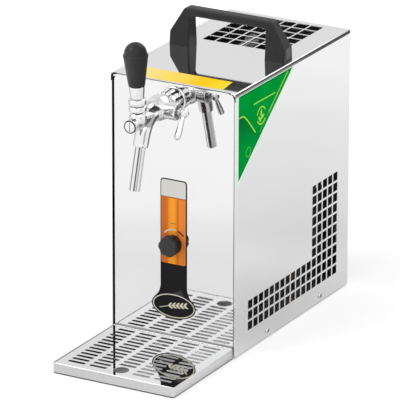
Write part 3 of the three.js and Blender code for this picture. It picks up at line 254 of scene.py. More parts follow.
# Metres along that line, negative to the front, and the share of the ground's colour that metal
# sees, as painted shade
GROUND_STOPS = [
    (-1.1, 0.99), (-0.6, 0.99), (-0.5, 0.91), (-0.38, 0.88), (-0.28, 0.91), (-0.1, 0.97),
    (0.1, 0.8), (0.2, 0.84), (0.33, 0.94), (0.46, 0.86), (0.6, 0.85), (0.76, 0.86), (0.88, 0.88),
    (1.02, 0.95), (1.15, 1.0),
]


# Materials

def material(name, colour, metallic, rough, tint=0.05, spread=0.03, grain=900, patch=40,
             bump=0.03, stretch=(1, 1, 1), **sockets):
    """A surface whose colour, gloss and relief all vary a little, at the scale of the real one."""
    made = bpy.data.materials.new(name)
    made.use_nodes = True
    nodes, links = made.node_tree.nodes, made.node_tree.links
    shader = nodes["Principled BSDF"]
    shader.inputs["Metallic"].default_value = metallic
    for key, value in sockets.items():
        shader.inputs[key.replace("_", " ")].default_value = value
    coordinates = nodes.new("ShaderNodeTexCoord")
    mapping = nodes.new("ShaderNodeMapping")
    mapping.inputs["Scale"].default_value = stretch
    links.new(coordinates.outputs["Object"], mapping.inputs["Vector"])
    fine = nodes.new("ShaderNodeTexNoise")
    fine.inputs["Scale"].default_value = grain
    fine.inputs["Detail"].default_value = 4
    coarse = nodes.new("ShaderNodeTexNoise")
    coarse.inputs["Scale"].default_value = patch
    coarse.inputs["Detail"].default_value = 2
    for noise in (fine, coarse):
        links.new(mapping.outputs["Vector"], noise.inputs["Vector"])
    low = tuple(c * (1 - tint) for c in colour)
    high = tuple(min(1.0, c * (1 + tint)) for c in colour)
    shade = ramp_node(nodes, [(0.3, low), (0.7, high)], smooth=False)
    links.new(coarse.outputs["Fac"], shade.inputs[0])
    links.new(shade.outputs[0], shader.inputs["Base Color"])
    gloss = nodes.new("ShaderNodeMapRange")
    gloss.inputs["From Min"].default_value = 0.3
    gloss.inputs["From Max"].default_value = 0.7
    gloss.inputs["To Min"].default_value = max(0.0, rough - spread)
    gloss.inputs["To Max"].default_value = rough + spread
    links.new(fine.outputs["Fac"], gloss.inputs["Value"])
    links.new(gloss.outputs[0], shader.inputs["Roughness"])
    if bump:
        relief = nodes.new("ShaderNodeBump")
        relief.inputs["Strength"].default_value = bump
        relief.inputs["Distance"].default_value = 0.0002
        links.new(fine.outputs["Fac"], relief.inputs["Height"])
        links.new(relief.outputs[0], shader.inputs["Normal"])
    return made


def stripes(made, colours, way, middle=(0, 0, 0)):
    """Soft bands of base colour along a way, given as ramp widths per metre round a middle."""
    nodes, links = made.node_tree.nodes, made.node_tree.links
    coordinates = nodes.new("ShaderNodeTexCoord")
    along = dot_node(nodes, links, coordinates.outputs["Object"], way)
    offset = 0.5 - Vector(way).dot(place(middle))
    at = math_node(nodes, links, "ADD", along, offset)
    ramp = ramp_node(nodes, colours)
    links.new(at, ramp.inputs[0])
    links.new(ramp.outputs[0], nodes["Principled BSDF"].inputs["Base Color"])


LOOKS = {}


def add_look(name, *values, **sockets):
    LOOKS[name] = material(name, *values, **sockets)


def plain_looks():
    """Each row: name, colour, metal or not, roughness, then how all of it varies."""
    rows = [
        ("mirror_steel", (0.885, 0.885, 0.89), 1, 0.035, 0.01, 0.012, 1500, 6, 0.0),
        ("satin_steel", (0.7, 0.705, 0.7), 1, 0.26, 0.03, 0.05, 500, 20, 0.02, (1, 12, 12)),
        ("zinc_steel", (0.55, 0.56, 0.57), 1, 0.42, 0.15, 0.1, 300, 90, 0.05),
        ("painted_steel", (0.02, 0.02, 0.022), 0, 0.45, 0.1, 0.05, 700, 30, 0.06),
        ("black_paint", (0.014, 0.014, 0.015), 0, 0.4, 0.15, 0.06, 600, 30, 0.05),
        # The three chromes carry the painted reflections laid on them below; the spout's is a
        # little rougher
        ("chrome", (0.88, 0.88, 0.885), 1, 0.04, 0.02, 0.015, 900, 60, 0.004),
        ("cast_chrome", (0.88, 0.88, 0.885), 1, 0.04, 0.02, 0.015, 900, 60, 0.004),
        ("spout_chrome", (0.88, 0.88, 0.885), 1, 0.05, 0.02, 0.015, 900, 60, 0.004),
        # A dark grey that stands for the shade in grooves, slots and seams
        ("slot_grey", (0.12, 0.12, 0.125), 0, 0.5, 0.1, 0.05, 900, 60, 0.02),
        ("aluminium", (0.66, 0.67, 0.68), 1, 0.38, 0.08, 0.08, 500, 60, 0.04),
        ("copper", (0.42, 0.25, 0.18), 1, 0.36, 0.2, 0.1, 400, 60, 0.03),
        ("rubber", (0.012, 0.012, 0.012), 0, 0.7, 0.15, 0.06, 900, 60, 0.08),
        # The next four carry painted shade and light: the gap's shadow line, the hem's shade, the
        # light on the panel's right edge and the shade on the tray's floor
        ("trim_grey", (0.24, 0.235, 0.23), 0, 0.4, 0.05, 0.05, 900, 40, 0.02),
        ("trim_hem", (0.24, 0.235, 0.23), 0, 0.4, 0.05, 0.05, 900, 40, 0.02),
        ("trim_pale", (0.42, 0.42, 0.42), 0, 0.4, 0.05, 0.05, 900, 40, 0.02),
        ("tray_floor_shade", (0.4, 0.4, 0.4), 0, 0.3, 0.05, 0.05, 500, 40, 0.02),
        ("white_plastic", (0.68, 0.68, 0.67), 0, 0.4, 0.03, 0.05, 900, 40, 0.04),
        ("foam", (0.62, 0.6, 0.55), 0, 0.9, 0.08, 0.05, 500, 60, 0.3),
    ]
    for row in rows:
        add_look(*row)
    add_look("black_plastic", (0.015, 0.015, 0.016), 0, 0.42, 0.1, 0.05, 1600, 50, 0.12,
             Specular_IOR_Level=0.3)
    add_look("knob_plastic", (0.05, 0.05, 0.052), 0, 0.3, 0.1, 0.04, 1400, 50, 0.04,
             Specular_IOR_Level=0.12)
    add_look("pad_plastic", (0.05, 0.05, 0.052), 0, 0.36, 0.08, 0.05, 1600, 50, 0.1,
             Specular_IOR_Level=0.4)
    add_look("clear_tube", (0.72, 0.75, 0.75), 0, 0.25, 0.04, 0.05, 300, 40, 0.02,
             Coat_Weight=0.3)


def paint_shading_by_facing(made, *tints):
    """Paints shade and dark reflections into a surface's colour by the way that its faces look:
    pairs of a direction and its grey stops.
    """
    nodes, links = made.node_tree.nodes, made.node_tree.links
    base = nodes["Principled BSDF"].inputs["Base Color"]
    shade = base.links[0].from_socket
    geometry = nodes.new("ShaderNodeNewGeometry")
    for direction, stops in tints:
        facing = dot_node(nodes, links, geometry.outputs["Normal"], direction)
        at = math_node(nodes, links, "MULTIPLY_ADD", facing, 0.5, 0.5)
        ramp = ramp_node(nodes, [((way + 1) / 2, level) for way, level in stops])
        links.new(at, ramp.inputs[0])
        shade = multiply_node(nodes, links, shade, ramp.outputs[0])
    links.new(shade, base)


def paint_shading_spots(made, *spots):
    """Paints dark egg-shaped spots of reflection into a surface's colour: each has a middle, its
    half lengths and a grey level.
    """
    nodes, links = made.node_tree.nodes, made.node_tree.links
    base = nodes["Principled BSDF"].inputs["Base Color"]
    shade = base.links[0].from_socket
    coordinates = nodes.new("ShaderNodeTexCoord")
    for middle, half, level in spots:
        apart = nodes.new("ShaderNodeVectorMath")
        apart.operation = "SUBTRACT"
        apart.inputs[1].default_value = place(middle)
        links.new(coordinates.outputs["Object"], apart.inputs[0])
        shares = nodes.new("ShaderNodeVectorMath")
        shares.operation = "DIVIDE"
        shares.inputs[1].default_value = Vector(half) * MM
        links.new(apart.outputs["Vector"], shares.inputs[0])
        far = nodes.new("ShaderNodeVectorMath")
        far.operation = "LENGTH"
        links.new(shares.outputs["Vector"], far.inputs[0])
        ramp = ramp_node(nodes, [(0.7, level), (1.0, 1.0)])
        links.new(far.outputs["Value"], ramp.inputs[0])
        shade = multiply_node(nodes, links, shade, ramp.outputs[0])
    links.new(shade, base)


# Ways along which painted shade and reflections are laid: to the right of the camera's view,
# towards the camera, past the right edge to the back, and square to the back of the sloping spout
RIGHTWARD = (0.873, 0.488, 0.0)
FORWARD = (0.459, -0.822, 0.337)
BACK_RIGHT = (0.978, 0.208, 0)
UNDER_ARM = (0.259, 0.929, -0.266)


def paint_reflections_and_shade():
    """Paints the reflections of a studio's dark cards into the polished metals' colour, and painted
    shade into the satin steel and the knobs.
    """
    # Painted reflections: chrome darker where its faces look towards dark cards
    for name in ("chrome", "cast_chrome"):
        paint_shading_by_facing(
            LOOKS[name],
            (RIGHTWARD, [(-1, 0.5), (-0.9, 0.7), (-0.72, 1.0), (1, 1.0)]),
            (BACK_RIGHT, [(-1, 1.0), (0.91, 1.0), (0.955, 0.3), (1, 0.14)]),
            (FORWARD, [(-1, 0.9), (-0.3, 0.85), (0.0, 0.6), (0.12, 0.6), (0.38, 1.0), (1, 1.0)]),
            (UPWARD, [(-1, 0.35), (-0.75, 0.45), (-0.3, 0.9), (0, 1.0), (1, 1.0)]),
            (UNDER_ARM, [(-1, 1.0), (0.92, 1.0), (0.97, 0.09), (1, 0.09)]),
        )
    # Painted reflections: dark spots on the right of the valve, where it meets the barrel and the
    # arm
    paint_shading_spots(
        LOOKS["cast_chrome"],
        ((6, -57, 330.8), (7.5, 11.5, 4.2), 0.05), ((9.3, -72, 328.4), (3.6, 9, 3.2), 0.1),
        ((8, -69, 319.5), (6, 17, 8.5), 0.5),
    )
    # Painted shade: the satin steel darker on faces that look down
    paint_shading_by_facing(
        LOOKS["satin_steel"], (UPWARD, [(-1, 0.25), (-0.5, 0.3), (-0.2, 1.0), (1, 1.0)]))
    # Painted reflections: dark and light bands round the spout by the way its faces look
    paint_shading_by_facing(
        LOOKS["spout_chrome"],
        (RIGHTWARD, [(-1, 0.22), (-0.86, 0.3), (-0.66, 1.0), (-0.34, 1.0), (-0.24, 0.14),
                     (-0.1, 0.16), (0.06, 0.8), (0.45, 1.0), (0.7, 0.95), (0.86, 0.66), (1, 0.5)]),
        (UNDER_ARM, [(-1, 1.0), (0.945, 1.0), (0.98, 0.08), (1, 0.08)]),
    )
    # Painted shade: the knobs darker on their right sides
    paint_shading_by_facing(
        LOOKS["knob_plastic"],
        (RIGHTWARD, [(-1, 1.0), (-0.6, 0.9), (0.2, 0.6), (0.6, 0.4), (0.82, 0.1), (1, 0.02)]))


def dress_nodes():
    """Each CAD node takes the look of the material slot that the record gives it."""
    for part in frame["record"]["subparts"]:
        obj = frame["nodes"][part["node"]]
        obj.data.materials.clear()
        obj.data.materials.append(LOOKS[part["material_slot"]])


# Meshes

def finish(name, verts, faces, look, body, **rest):
    """A closed mesh, from points in the cabinet's frame."""
    mesh = bpy.data.meshes.new(name)
    mesh.from_pydata([place(v) for v in verts], [], faces)
    return finish_mesh(name, mesh, look, body, **rest)


def finish_mesh(name, mesh, look, body, slot=None, stands_for=(), bevel=0.0, angle=30):
    shape = bmesh.new()
    shape.from_mesh(mesh)
    bmesh.ops.remove_doubles(shape, verts=shape.verts, dist=1e-6)
    bmesh.ops.recalc_face_normals(shape, faces=shape.faces)
    shape.to_mesh(mesh)
    shape.free()
    mesh.shade_smooth()
    mesh.set_sharp_from_angle(angle=math.radians(angle))
    mesh.materials.clear()
    mesh.materials.append(LOOKS[look])
    obj = bpy.data.objects.new(name, mesh)
    SCENE.collection.objects.link(obj)
    if bevel:
        edge = obj.modifiers.new("edge", "BEVEL")
        edge.width = bevel * MM
        edge.segments = 2
        edge.limit_method = "ANGLE"
        edge.angle_limit = math.radians(angle)
        edge.harden_normals = True
    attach(obj, body)
    if stands_for:
        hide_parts(*stands_for)
    return obj


def axes_of(axis):
    """Three square directions, of which the last is the axis."""
    z = Vector(axis).normalized()
    x = Vector((1, 0, 0)) if abs(z.x) < 0.9 else Vector((0, 0, 1))
    x = (x - z * x.dot(z)).normalized()
    return x, z.cross(x), z


def lathe(pairs, origin, axis, segments=48, shape=None):
    """Rings of (radius, distance) along an axis; shape(angle) scales the radius."""
    x, y, z = axes_of(axis)
    origin = Vector(origin)
    verts, rings = [], []
    for radius, along in pairs:
        middle = origin + z * along
        if radius <= 0:
            rings.append([len(verts)])
            verts.append(middle)
            continue
        ring = []
        for k in range(segments):
            turn = TAU * k / segments
            reach = radius * (shape(turn) if shape else 1)
            ring.append(len(verts))
            verts.append(middle + x * reach * math.cos(turn) + y * reach * math.sin(turn))
        rings.append(ring)
    return verts, bands(rings)


def bands(rings):
    """Faces between rings of points; a ring of one point makes a fan."""
    faces = []
    for low, high in zip(rings, rings[1:]):
        count = max(len(low), len(high))
        for k in range(count):
            n = k + 1
            corners = [low[k % len(low)], low[n % len(low)],
                       high[n % len(high)], high[k % len(high)]]
            kept = list(dict.fromkeys(corners))
            if len(kept) > 2:
                faces.append(kept)
    return faces


def loft(loops, closed=False):
    """Skins loops of points that all have the same count, with a cap on each end."""
    verts, rings = [], []
    for loop in loops:
        rings.append(list(range(len(verts), len(verts) + len(loop))))
        verts += [Vector(p) for p in loop]
    faces = bands(rings + rings[:1] if closed else rings)
    if not closed:
        faces += [rings[0][::-1], rings[-1]]
    return verts, faces


def sweep(points, radii, sides=24, flat=1.0):
    """A round bar through points, closed at both ends; flat squeezes it across x."""
    loops = []
    points = [Vector(p) for p in points]
    for i, point in enumerate(points):
        way = (points[min(i + 1, len(points) - 1)] - points[max(i - 1, 0)]).normalized()
        x, y, _ = axes_of(way)
        radius = radii[i] if isinstance(radii, (list, tuple)) else radii
        turns = [TAU * k / sides for k in range(sides)]
        loops.append([point + x * radius * flat * math.cos(t) + y * radius * math.sin(t)
                      for t in turns])
    return loft(loops)


def bezier(a, b, c, d, steps):
    a, b, c, d = (Vector(point) for point in (a, b, c, d))
    made = []
    for i in range(steps + 1):
        t = i / steps
        s = 1 - t
        made.append(a * s ** 3 + b * 3 * s * s * t + c * 3 * s * t * t + d * t ** 3)
    return made


def merge(*parts):
    verts, faces = [], []
    for some_verts, some_faces in parts:
        start = len(verts)
        verts += some_verts
        faces += [[start + i for i in face] for face in some_faces]
    return verts, faces


def rounded(width, height, corners, x=0.0, y=0.0, steps=6):
    """Points of a rectangle; its corner radii go from the bottom left round by the right."""
    if not isinstance(corners, (list, tuple)):
        corners = [corners] * 4
    right, top = x + width / 2, y + height / 2
    left, bottom = x - width / 2, y - height / 2
    centres = [(left, bottom, 1, 1), (right, bottom, -1, 1), (right, top, -1, -1),
               (left, top, 1, -1)]
    points = []
    for i, ((cx, cy, sx, sy), radius) in enumerate(zip(centres, corners)):
        if radius <= 0:
            points.append((cx, cy))
            continue
        for k in range(steps + 1):
            turn = math.pi * (1 + i * 0.5) + math.pi / 2 * k / steps
            points.append((cx + sx * radius + radius * math.cos(turn),
                           cy + sy * radius + radius * math.sin(turn)))
    return points


# The two directions in which a flat sheet's outline is drawn
PLANES = {
    "top": ((1, 0, 0), (0, 1, 0)), "front": ((1, 0, 0), (0, 0, 1)),
    "right": ((0, 1, 0), (0, 0, 1)),
}


def plate(name, loops, thick, plane, origin, look, body, **rest):
    """A flat sheet with holes: the first loop is its outline, and origin is on its middle plane."""
    curve = bpy.data.curves.new(name, "CURVE")
    curve.dimensions = "2D"
    curve.fill_mode = "BOTH"
    curve.extrude = thick / 2 * MM
    for loop in loops:
        line = curve.splines.new("POLY")
        line.points.add(len(loop) - 1)
        for point, (u, v) in zip(line.points, loop):
            point.co = (u * MM, v * MM, 0, 1)
        line.use_cyclic_u = True
    maker = bpy.data.objects.new(name + "_maker", curve)
    SCENE.collection.objects.link(maker)
    bpy.context.view_layer.update()
    shown = maker.evaluated_get(bpy.context.evaluated_depsgraph_get())
    mesh = bpy.data.meshes.new_from_object(shown)
    bpy.data.objects.remove(maker)
    u, v = (Vector(axis) for axis in PLANES[plane])
    w = u.cross(v)
    turn = Matrix((u, v, w)).transposed().to_4x4()
    mesh.transform(Matrix.Translation(place(origin)) @ turn)
    return finish_mesh(name, mesh, look, body, **rest)


# Cabinet

def top_cover():
    """The pressed lid: a flat sheet with vents, a turned-down edge and a rubber line below it."""
    rows, pitch_x, pitch_y, rear_y = 6, 18.8, 20, 281.4
    holes = [rounded(16.6, 17.4, 1, (i - (rows - 1) / 2) * pitch_x, rear_y - j * pitch_y, 2)
             for i in range(rows) for j in range(rows)]
    width, depth = CASE_WIDTH - 2 * COVER_BEND, CASE_DEPTH - 2 * COVER_BEND
    plate("top_sheet", [rounded(width, depth, 0, 0, CASE_DEPTH / 2)] + holes, COVER_SHEET, "top",
          (0, 0, CASE_TOP - COVER_SHEET / 2), "mirror_steel", "cabinet", stands_for=("top_cover",))
    inner, steps, foot = COVER_BEND - COVER_SHEET, 6, CASE_TOP - 4
    turns = [math.pi / 2 * k / steps for k in range(steps + 1)]
    outer_bend, inner_bend = (
        [cover_loop(bend * math.sin(t), top - bend * (1 - math.cos(t))) for t in turns]
        for bend, top in ((COVER_BEND, CASE_TOP), (inner, CASE_TOP - COVER_SHEET)))
    loops = outer_bend + [cover_loop(COVER_BEND, foot), cover_loop(inner, foot)]
    loops += inner_bend[::-1]
    finish("top_bend", *loft(loops, closed=True), "mirror_steel", "cabinet",
           stands_for=("top_cover",), angle=50)
    front, rear, outside, inside = 0.4, CASE_DEPTH - 0.4, CASE_WIDTH / 2 + 0.04, 86.9
    # The grey hem under the seal darkens towards the rear: painted shade
    for name, low, high, look in (
        ("top_seal", 344.1, 346.0, "rubber"), ("top_hem", 341.9, 344.1, "trim_hem"),
    ):
        outline = [(front, low), (rear, low), (rear, high), (front, high)]
        for side, sign in (("left", -1), ("right", 1)):
            loops = [[(sign * x, y, z) for y, z in outline] for x in (outside, inside)]
            finish(name + "_" + side, *loft(loops), look, "cabinet", slot="rubber",
                   stands_for=("top_cover",))
    # A dark strip along the cover's front edge: painted shade
    finish("top_front_shade_line", *box((-80, 0.2, 346.1), (80, 1.1, 346.95)), "slot_grey", "cabinet",
           slot="rubber", stands_for=("top_cover",))
    finish("rear_hem", *box((-84.6, 298, 339.8), (84.6, 298.9, 344.6)), "painted_steel", "cabinet")


def cover_loop(reach, height):
    """A line round the cover, so far outside its flat part."""
    width, depth = CASE_WIDTH - 2 * COVER_BEND, CASE_DEPTH - 2 * COVER_BEND
    outline = rounded(width + 2 * reach, depth + 2 * reach, max(reach, 0.01), 0, CASE_DEPTH / 2, 4)
    return [(x, y, height) for x, y in outline]


COVER_BEND = 1.8
COVER_SHEET = 1.2


def gasket_corners():
    """The rubber that shows at the panel's top corners, the trim down its right edge, painted paler
    as if lit by the panel, and a strip of painted shade at the panel's foot.
    """
    edge, steps = 86.9, 12
    turns = [math.pi / 2 * k / steps for k in range(steps + 1)]
    for name, sign, thick, high, bend in (
        ("left", -1, 1.35, 346.6, 4.8), ("right", 1, 0.7, 345.8, 6.5),
    ):
        line = [(edge, high - 9.5)]
        line += [(edge + bend * (math.cos(t) - 1), high + bend * (math.sin(t) - 1)) for t in turns]
        line.append((edge - bend - 3, high - 0.1))
        points = [(sign * x, 0.0, z) for x, z in line]
        radii = [thick] * (len(points) - 1) + [thick * 0.3]
        finish("gasket_corner_" + name, *sweep(points, radii, 16), "rubber", "cabinet",
               stands_for=("front_gasket",))
    # Painted light: the right edge's trim paler upwards, darker towards the bottom
    finish("gasket_trim", *box((84.9, 0.9, 16.5), (86.6, 1.6, 336)), "trim_pale", "cabinet",
           slot="rubber", stands_for=("front_gasket",))
    # A grey strip in the gap between the tray and the panel: painted shade
    finish("panel_foot_shade_strip", *box((-84.4, -0.3, 11.8), (84.4, 1.96, 14.75)), "trim_grey",
           "cabinet", slot="rubber")


def box(low, high):
    (left, right), (front, rear), heights = zip(low, high)
    outline = [(left, front), (right, front), (right, rear), (left, rear)]
    return loft([[(x, y, z) for x, y in outline] for z in heights])


def carry_handle():
    """The moulded arch, which thins towards its top, with a pad on the outside of each leg."""
    half, high, foot, bar = 82.0, 50.0, 28.0, 10.2
    cut_x, cut_z = 20.0, 33.0
    half_depth, base = 11.85, CASE_TOP + 0.02
    outer = [(-half, 0), (-half, high - cut_z), (-half + cut_x, high), (half - cut_x, high),
             (half, high - cut_z), (half, 0)]
    leg, under = half - foot, high - bar
    inner = [(leg, 0), (leg, under), (-leg, under), (-leg, 0)]
    outline = fillet(outer, [0, 7, 7, 7, 7, 0]) + fillet(inner, [0, 5, 5, 0])
    loops = []
    for side in (-1, 1):
        loop = []
        for x, z in outline:
            share = max(0.0, min(1.0, z / high))
            loop.append((x, HANDLE_Y + side * half_depth * (1 - share / 3), base + z))
        loops.append(loop)
    verts, faces = loft(loops)
    obj = finish("carry_handle_arch", verts, faces, "black_plastic", "cabinet",
                 stands_for=("carry_handle",), angle=24)
    edge = obj.modifiers.new("edge", "BEVEL")
    edge.width = 2.2 * MM
    edge.segments = 4
    edge.limit_method = "WEIGHT"
    edge.harden_normals = True
    weigh_edges(obj.data, (CASE_TOP + 0.5) * MM)
    for sign in (-1, 1):
        outline = rounded(11.5, 14.5, 2.5, HANDLE_Y, 357.2, 5)
        loops = [[(sign * x, y, z) for y, z in outline] for x in (half - 0.6, half + 0.25)]
        finish("handle_pad_" + ("left" if sign < 0 else "right"), *loft(loops), "pad_plastic",
               "cabinet", slot="black_plastic", stands_for=("carry_handle",), bevel=0.2)


def weigh_edges(mesh, floor):
    """Marks the sharp edges above a height, so that the bevel leaves the foot flat."""
    shape = bmesh.new()
    shape.from_mesh(mesh)
    layer = shape.edges.layers.float.new("bevel_weight_edge")
    for edge in shape.edges:
        above = max(v.co.z for v in edge.verts) > floor
        if above and edge.calc_face_angle(0) > math.radians(60):
            edge[layer] = 1
    shape.to_mesh(mesh)
    shape.free()


def fillet(points, radii, steps=5):
    """An open line whose inner corners are turned with round bends of those radii."""
    made = []
    for i, (point, radius) in enumerate(zip(points, radii)):
        here = Vector(point)
        if not radius or i in (0, len(points) - 1):
            made.append(tuple(here))
            continue
        before = (Vector(points[i - 1]) - here).normalized()
        after = (Vector(points[i + 1]) - here).normalized()
        half = before.angle(after) / 2
        reach = min(radius / math.tan(half), 10)
        start, end = here + before * reach, here + after * reach
        for k in range(steps + 1):
            t = k / steps
            made.append(tuple(start * (1 - t) ** 2 + here * 2 * t * (1 - t) + end * t * t))
    return made


# Drip tray

def drip_tray():
    """The pan in section from its foot over the rim to the step that the grid lies on."""
    width, depth, rear_corner = 172, 149.6, 0.4

    def loop(inset, z, corner):
        corners = [corner, corner, rear_corner, rear_corner]
        outline = rounded(width - 2 * inset, depth - 2 * inset, corners, 0, TRAY_MIDDLE, 5)
        return [(x, y, z) for x, y in outline]

    rings = [
        loop(1.4, 1.3, 3.1), loop(0.3, 1.3, 3.7), loop(0, 1.6, 4), loop(0, 13.7, 4),
        loop(0.3, 14, 3.7), loop(0.9, 14, 3.1), loop(1.2, 13.7, 2.8), loop(1.2, 11.4, 2.8),
        loop(3.9, 11.4, 1), loop(4.2, 11.1, 0.8), loop(4.2, 1.6, 0.8), loop(5, 1.3, 0.5),
    ]
    finish("tray_pan", *loft(rings), "satin_steel", "tray", stands_for=("drip_tray",), angle=40)
    # The black foot stands for the shadow line along the pan's foot: painted shade
    finish("tray_foot_shadow", *loft([loop(0.5, 0, 3.5), loop(0.5, 1.25, 3.5)]), "black_paint", "tray",
           slot="satin_steel", stands_for=("drip_tray",))
    # A sheet on the pan's floor that carries painted shade
    plate("tray_bottom_shade", [rounded(163, 140, 0.6, 0, TRAY_MIDDLE, 2)], 0.3, "top", (0, 0, 1.4),
          "tray_floor_shade", "tray", slot="satin_steel", stands_for=("drip_tray",))


def drip_grid():
    """The loose plate: 5 rows of slots, which keep clear of its finger hole."""
    outline = rounded(168.6, 146.2, [2.4, 2.4, 0.3, 0.3], 0, TRAY_MIDDLE)
    rows, per_row, row_pitch, slot_pitch, rear_slot = 5, 13, 30.5, 10.2, 10.3
    finger_y, finger_hole, clear = -129, 20, 13.5
    holes = [rounded(finger_hole, finger_hole, finger_hole / 2, 0, finger_y, 10)]
    for i in range(rows):
        for j in range(per_row):
            x, y = (i - 2) * row_pitch, -(rear_slot + j * slot_pitch)
            if i == 2 and abs(y - finger_y) < clear:
                continue
            holes.append(rounded(24.4, 5.4, 2.6, x, y, 5))
    plate("grid_plate", [outline] + holes, 0.8, "top", (0, 0, 12.8), "mirror_steel", "grid",
          stands_for=("drip_grid",), bevel=0.15)


# Tap

def tap_casting():
    """The cast body: its forms are merged and smoothed, so that they run into each other."""
    barrel = lathe([(0, 6.3), (12, 6.3), (12, 21), (13.2, 24), (15.2, 28), (16.3, 32.5),
                    (16.4, 36.5), (15.7, 42), (14.3, 46.5), (12.2, 50.5), (9.4, 54), (5.6, 56.4),
                    (0, 57)], TAP, OUTWARD)
    valve = lathe([(0, 46), (8.3, 46), (8.3, 101.4), (7.8, 102.6), (0, 102.8)],
                  (0, FACE, VALVE_Z), OUTWARD)
    dome = lathe(ball(11, 12), LEVER, UPWARD)
    dome[0][0] = LEVER + Vector((0, 0, -11))
    housing = lathe([(0, 0), (10.9, 0), (10.9, 27.4), (10.3, 28), (0, 28)], COMP, ACROSS)
    arm = sweep(bezier((0, -50, 321.5), (0, -65.8, 321.5), (0, -73.2, 312.7), (0, -79.4, 291), 16),
                [9.4 + 0.5 * math.sin(math.pi * i / 16) for i in range(17)], 32, 1.02)
    socket = lathe([(0, 0), (9.2, 0), (9.2, 14), (0, 14)], SPOUT_TOP, -SPOUT_WAY)
    verts, faces = merge(barrel, valve, dome, housing, arm, socket)
    obj = finish("tap_casting", verts, faces, "cast_chrome", "cabinet", slot="chrome",
                 stands_for=("tap_body",), angle=180)
    # The voxels join the forms, and the smoothing rounds the lines where they meet
    rebuild = obj.modifiers.new("rebuild", "REMESH")
    rebuild.mode = "VOXEL"
    rebuild.voxel_size = 0.6 * MM
    rebuild.use_smooth_shade = True
    smooth = obj.modifiers.new("blend", "SMOOTH")
    smooth.factor = 0.6
    smooth.iterations = 7


def ball(radius, steps):
    """Half a circle to be turned, from one pole to the other."""
    turns = [math.pi * (i / steps - 0.5) for i in range(steps + 1)]
    return [(radius * math.cos(t), radius * math.sin(t)) for t in turns]


def spout():
    pairs = [(5.1, -10), (6.5, -10), (6.5, 54.6), (6.2, 55), (5.4, 55), (5.1, 54.7), (5.1, -10)]
    finish("spout_pipe", *lathe(pairs, SPOUT_TOP, SPOUT_WAY), "spout_chrome", "cabinet",
           slot="chrome", stands_for=("spout_tube",))
    pairs = [(6.6, 0.9), (8.6, 0.9), (9.25, 0.3), (9.25, -3.4), (8.9, -3.8), (6.6, -3.8)]
    finish("spout_ring", *lathe(pairs + pairs[:1], SPOUT_TOP, SPOUT_WAY), "chrome", "cabinet",
           stands_for=("spout_tube",))


def valve_cap():
    centre = (0, FACE - 103.3, VALVE_Z)
    pairs = [(0, -0.5), (8.3, -0.5), (8.3, 4.1), (7.9, 4.9), (7.3, 5.2), (0, 5.3)]
    finish("valve_cap_face", *lathe(pairs, centre, OUTWARD), "chrome", "cabinet",
           stands_for=("valve_cap",))
    # A black ring round the cap's face: painted shade at its bevel
    ring = [(6.9, 5.1), (6.9, 5.42), (7.6, 5.36), (8.15, 4.9), (8.35, 4.3), (7.6, 4.3)]
    finish("valve_cap_shade_ring", *lathe(ring + ring[:1], centre, OUTWARD), "rubber", "cabinet",
           slot="chrome", stands_for=("valve_cap",))
    # The slot is a flat dark film: painted shade in place of a cut recess
    groove = rounded(0.9, 11.5, 0.4, 0, 0, 3)
    plate("valve_cap_slot_shade", [[(x, VALVE_Z + z) for x, z in groove]], 0.2, "front",
          (0, FACE - 108.62, 0), "slot_grey", "cabinet", slot="chrome", stands_for=("valve_cap",))


def coupling_nut():
    """The ring nut: raised ribs round a black core that shows between them as painted shade in the
    grooves, and the disc that it presses on the panel.
    """
    def ribs(turn):
        count, wide, sunk = 11, 0.66, 0.84
        return 1.0 if (turn * count / TAU) % 1 < wide else sunk

    pairs = [(0, 3.2), (15.3, 3.2), (15.8, 3.9), (15.8, 16.4), (15.1, 18), (13.2, 19.6), (0, 19.6)]
    finish("nut_ring", *lathe(pairs, TAP, OUTWARD, 132, ribs), "chrome", "cabinet",
           stands_for=("coupling_nut",), bevel=0.2)
    pairs = [(0, 2.9), (14.4, 2.9), (14.4, 15.6), (0, 15.6)]
    finish("nut_groove_shade", *lathe(pairs, TAP, OUTWARD, 64), "black_paint", "cabinet", slot="chrome",
           stands_for=("coupling_nut",))
    pairs = [(0, 2.4), (15.6, 2.4), (15.6, 3.1), (0, 3.1)]
    finish("nut_washer", *lathe(pairs, TAP, OUTWARD, 64), "rubber", "cabinet", slot="chrome",
           stands_for=("tap_rosette",))
    pairs = [(0, 0.3), (17, 0.3), (17, 0.9), (16.2, 1.8), (15.2, 2.3), (0, 2.3)]
    finish("rosette_disc", *lathe(pairs, TAP, OUTWARD, 64), "chrome", "cabinet",
           stands_for=("tap_rosette",))


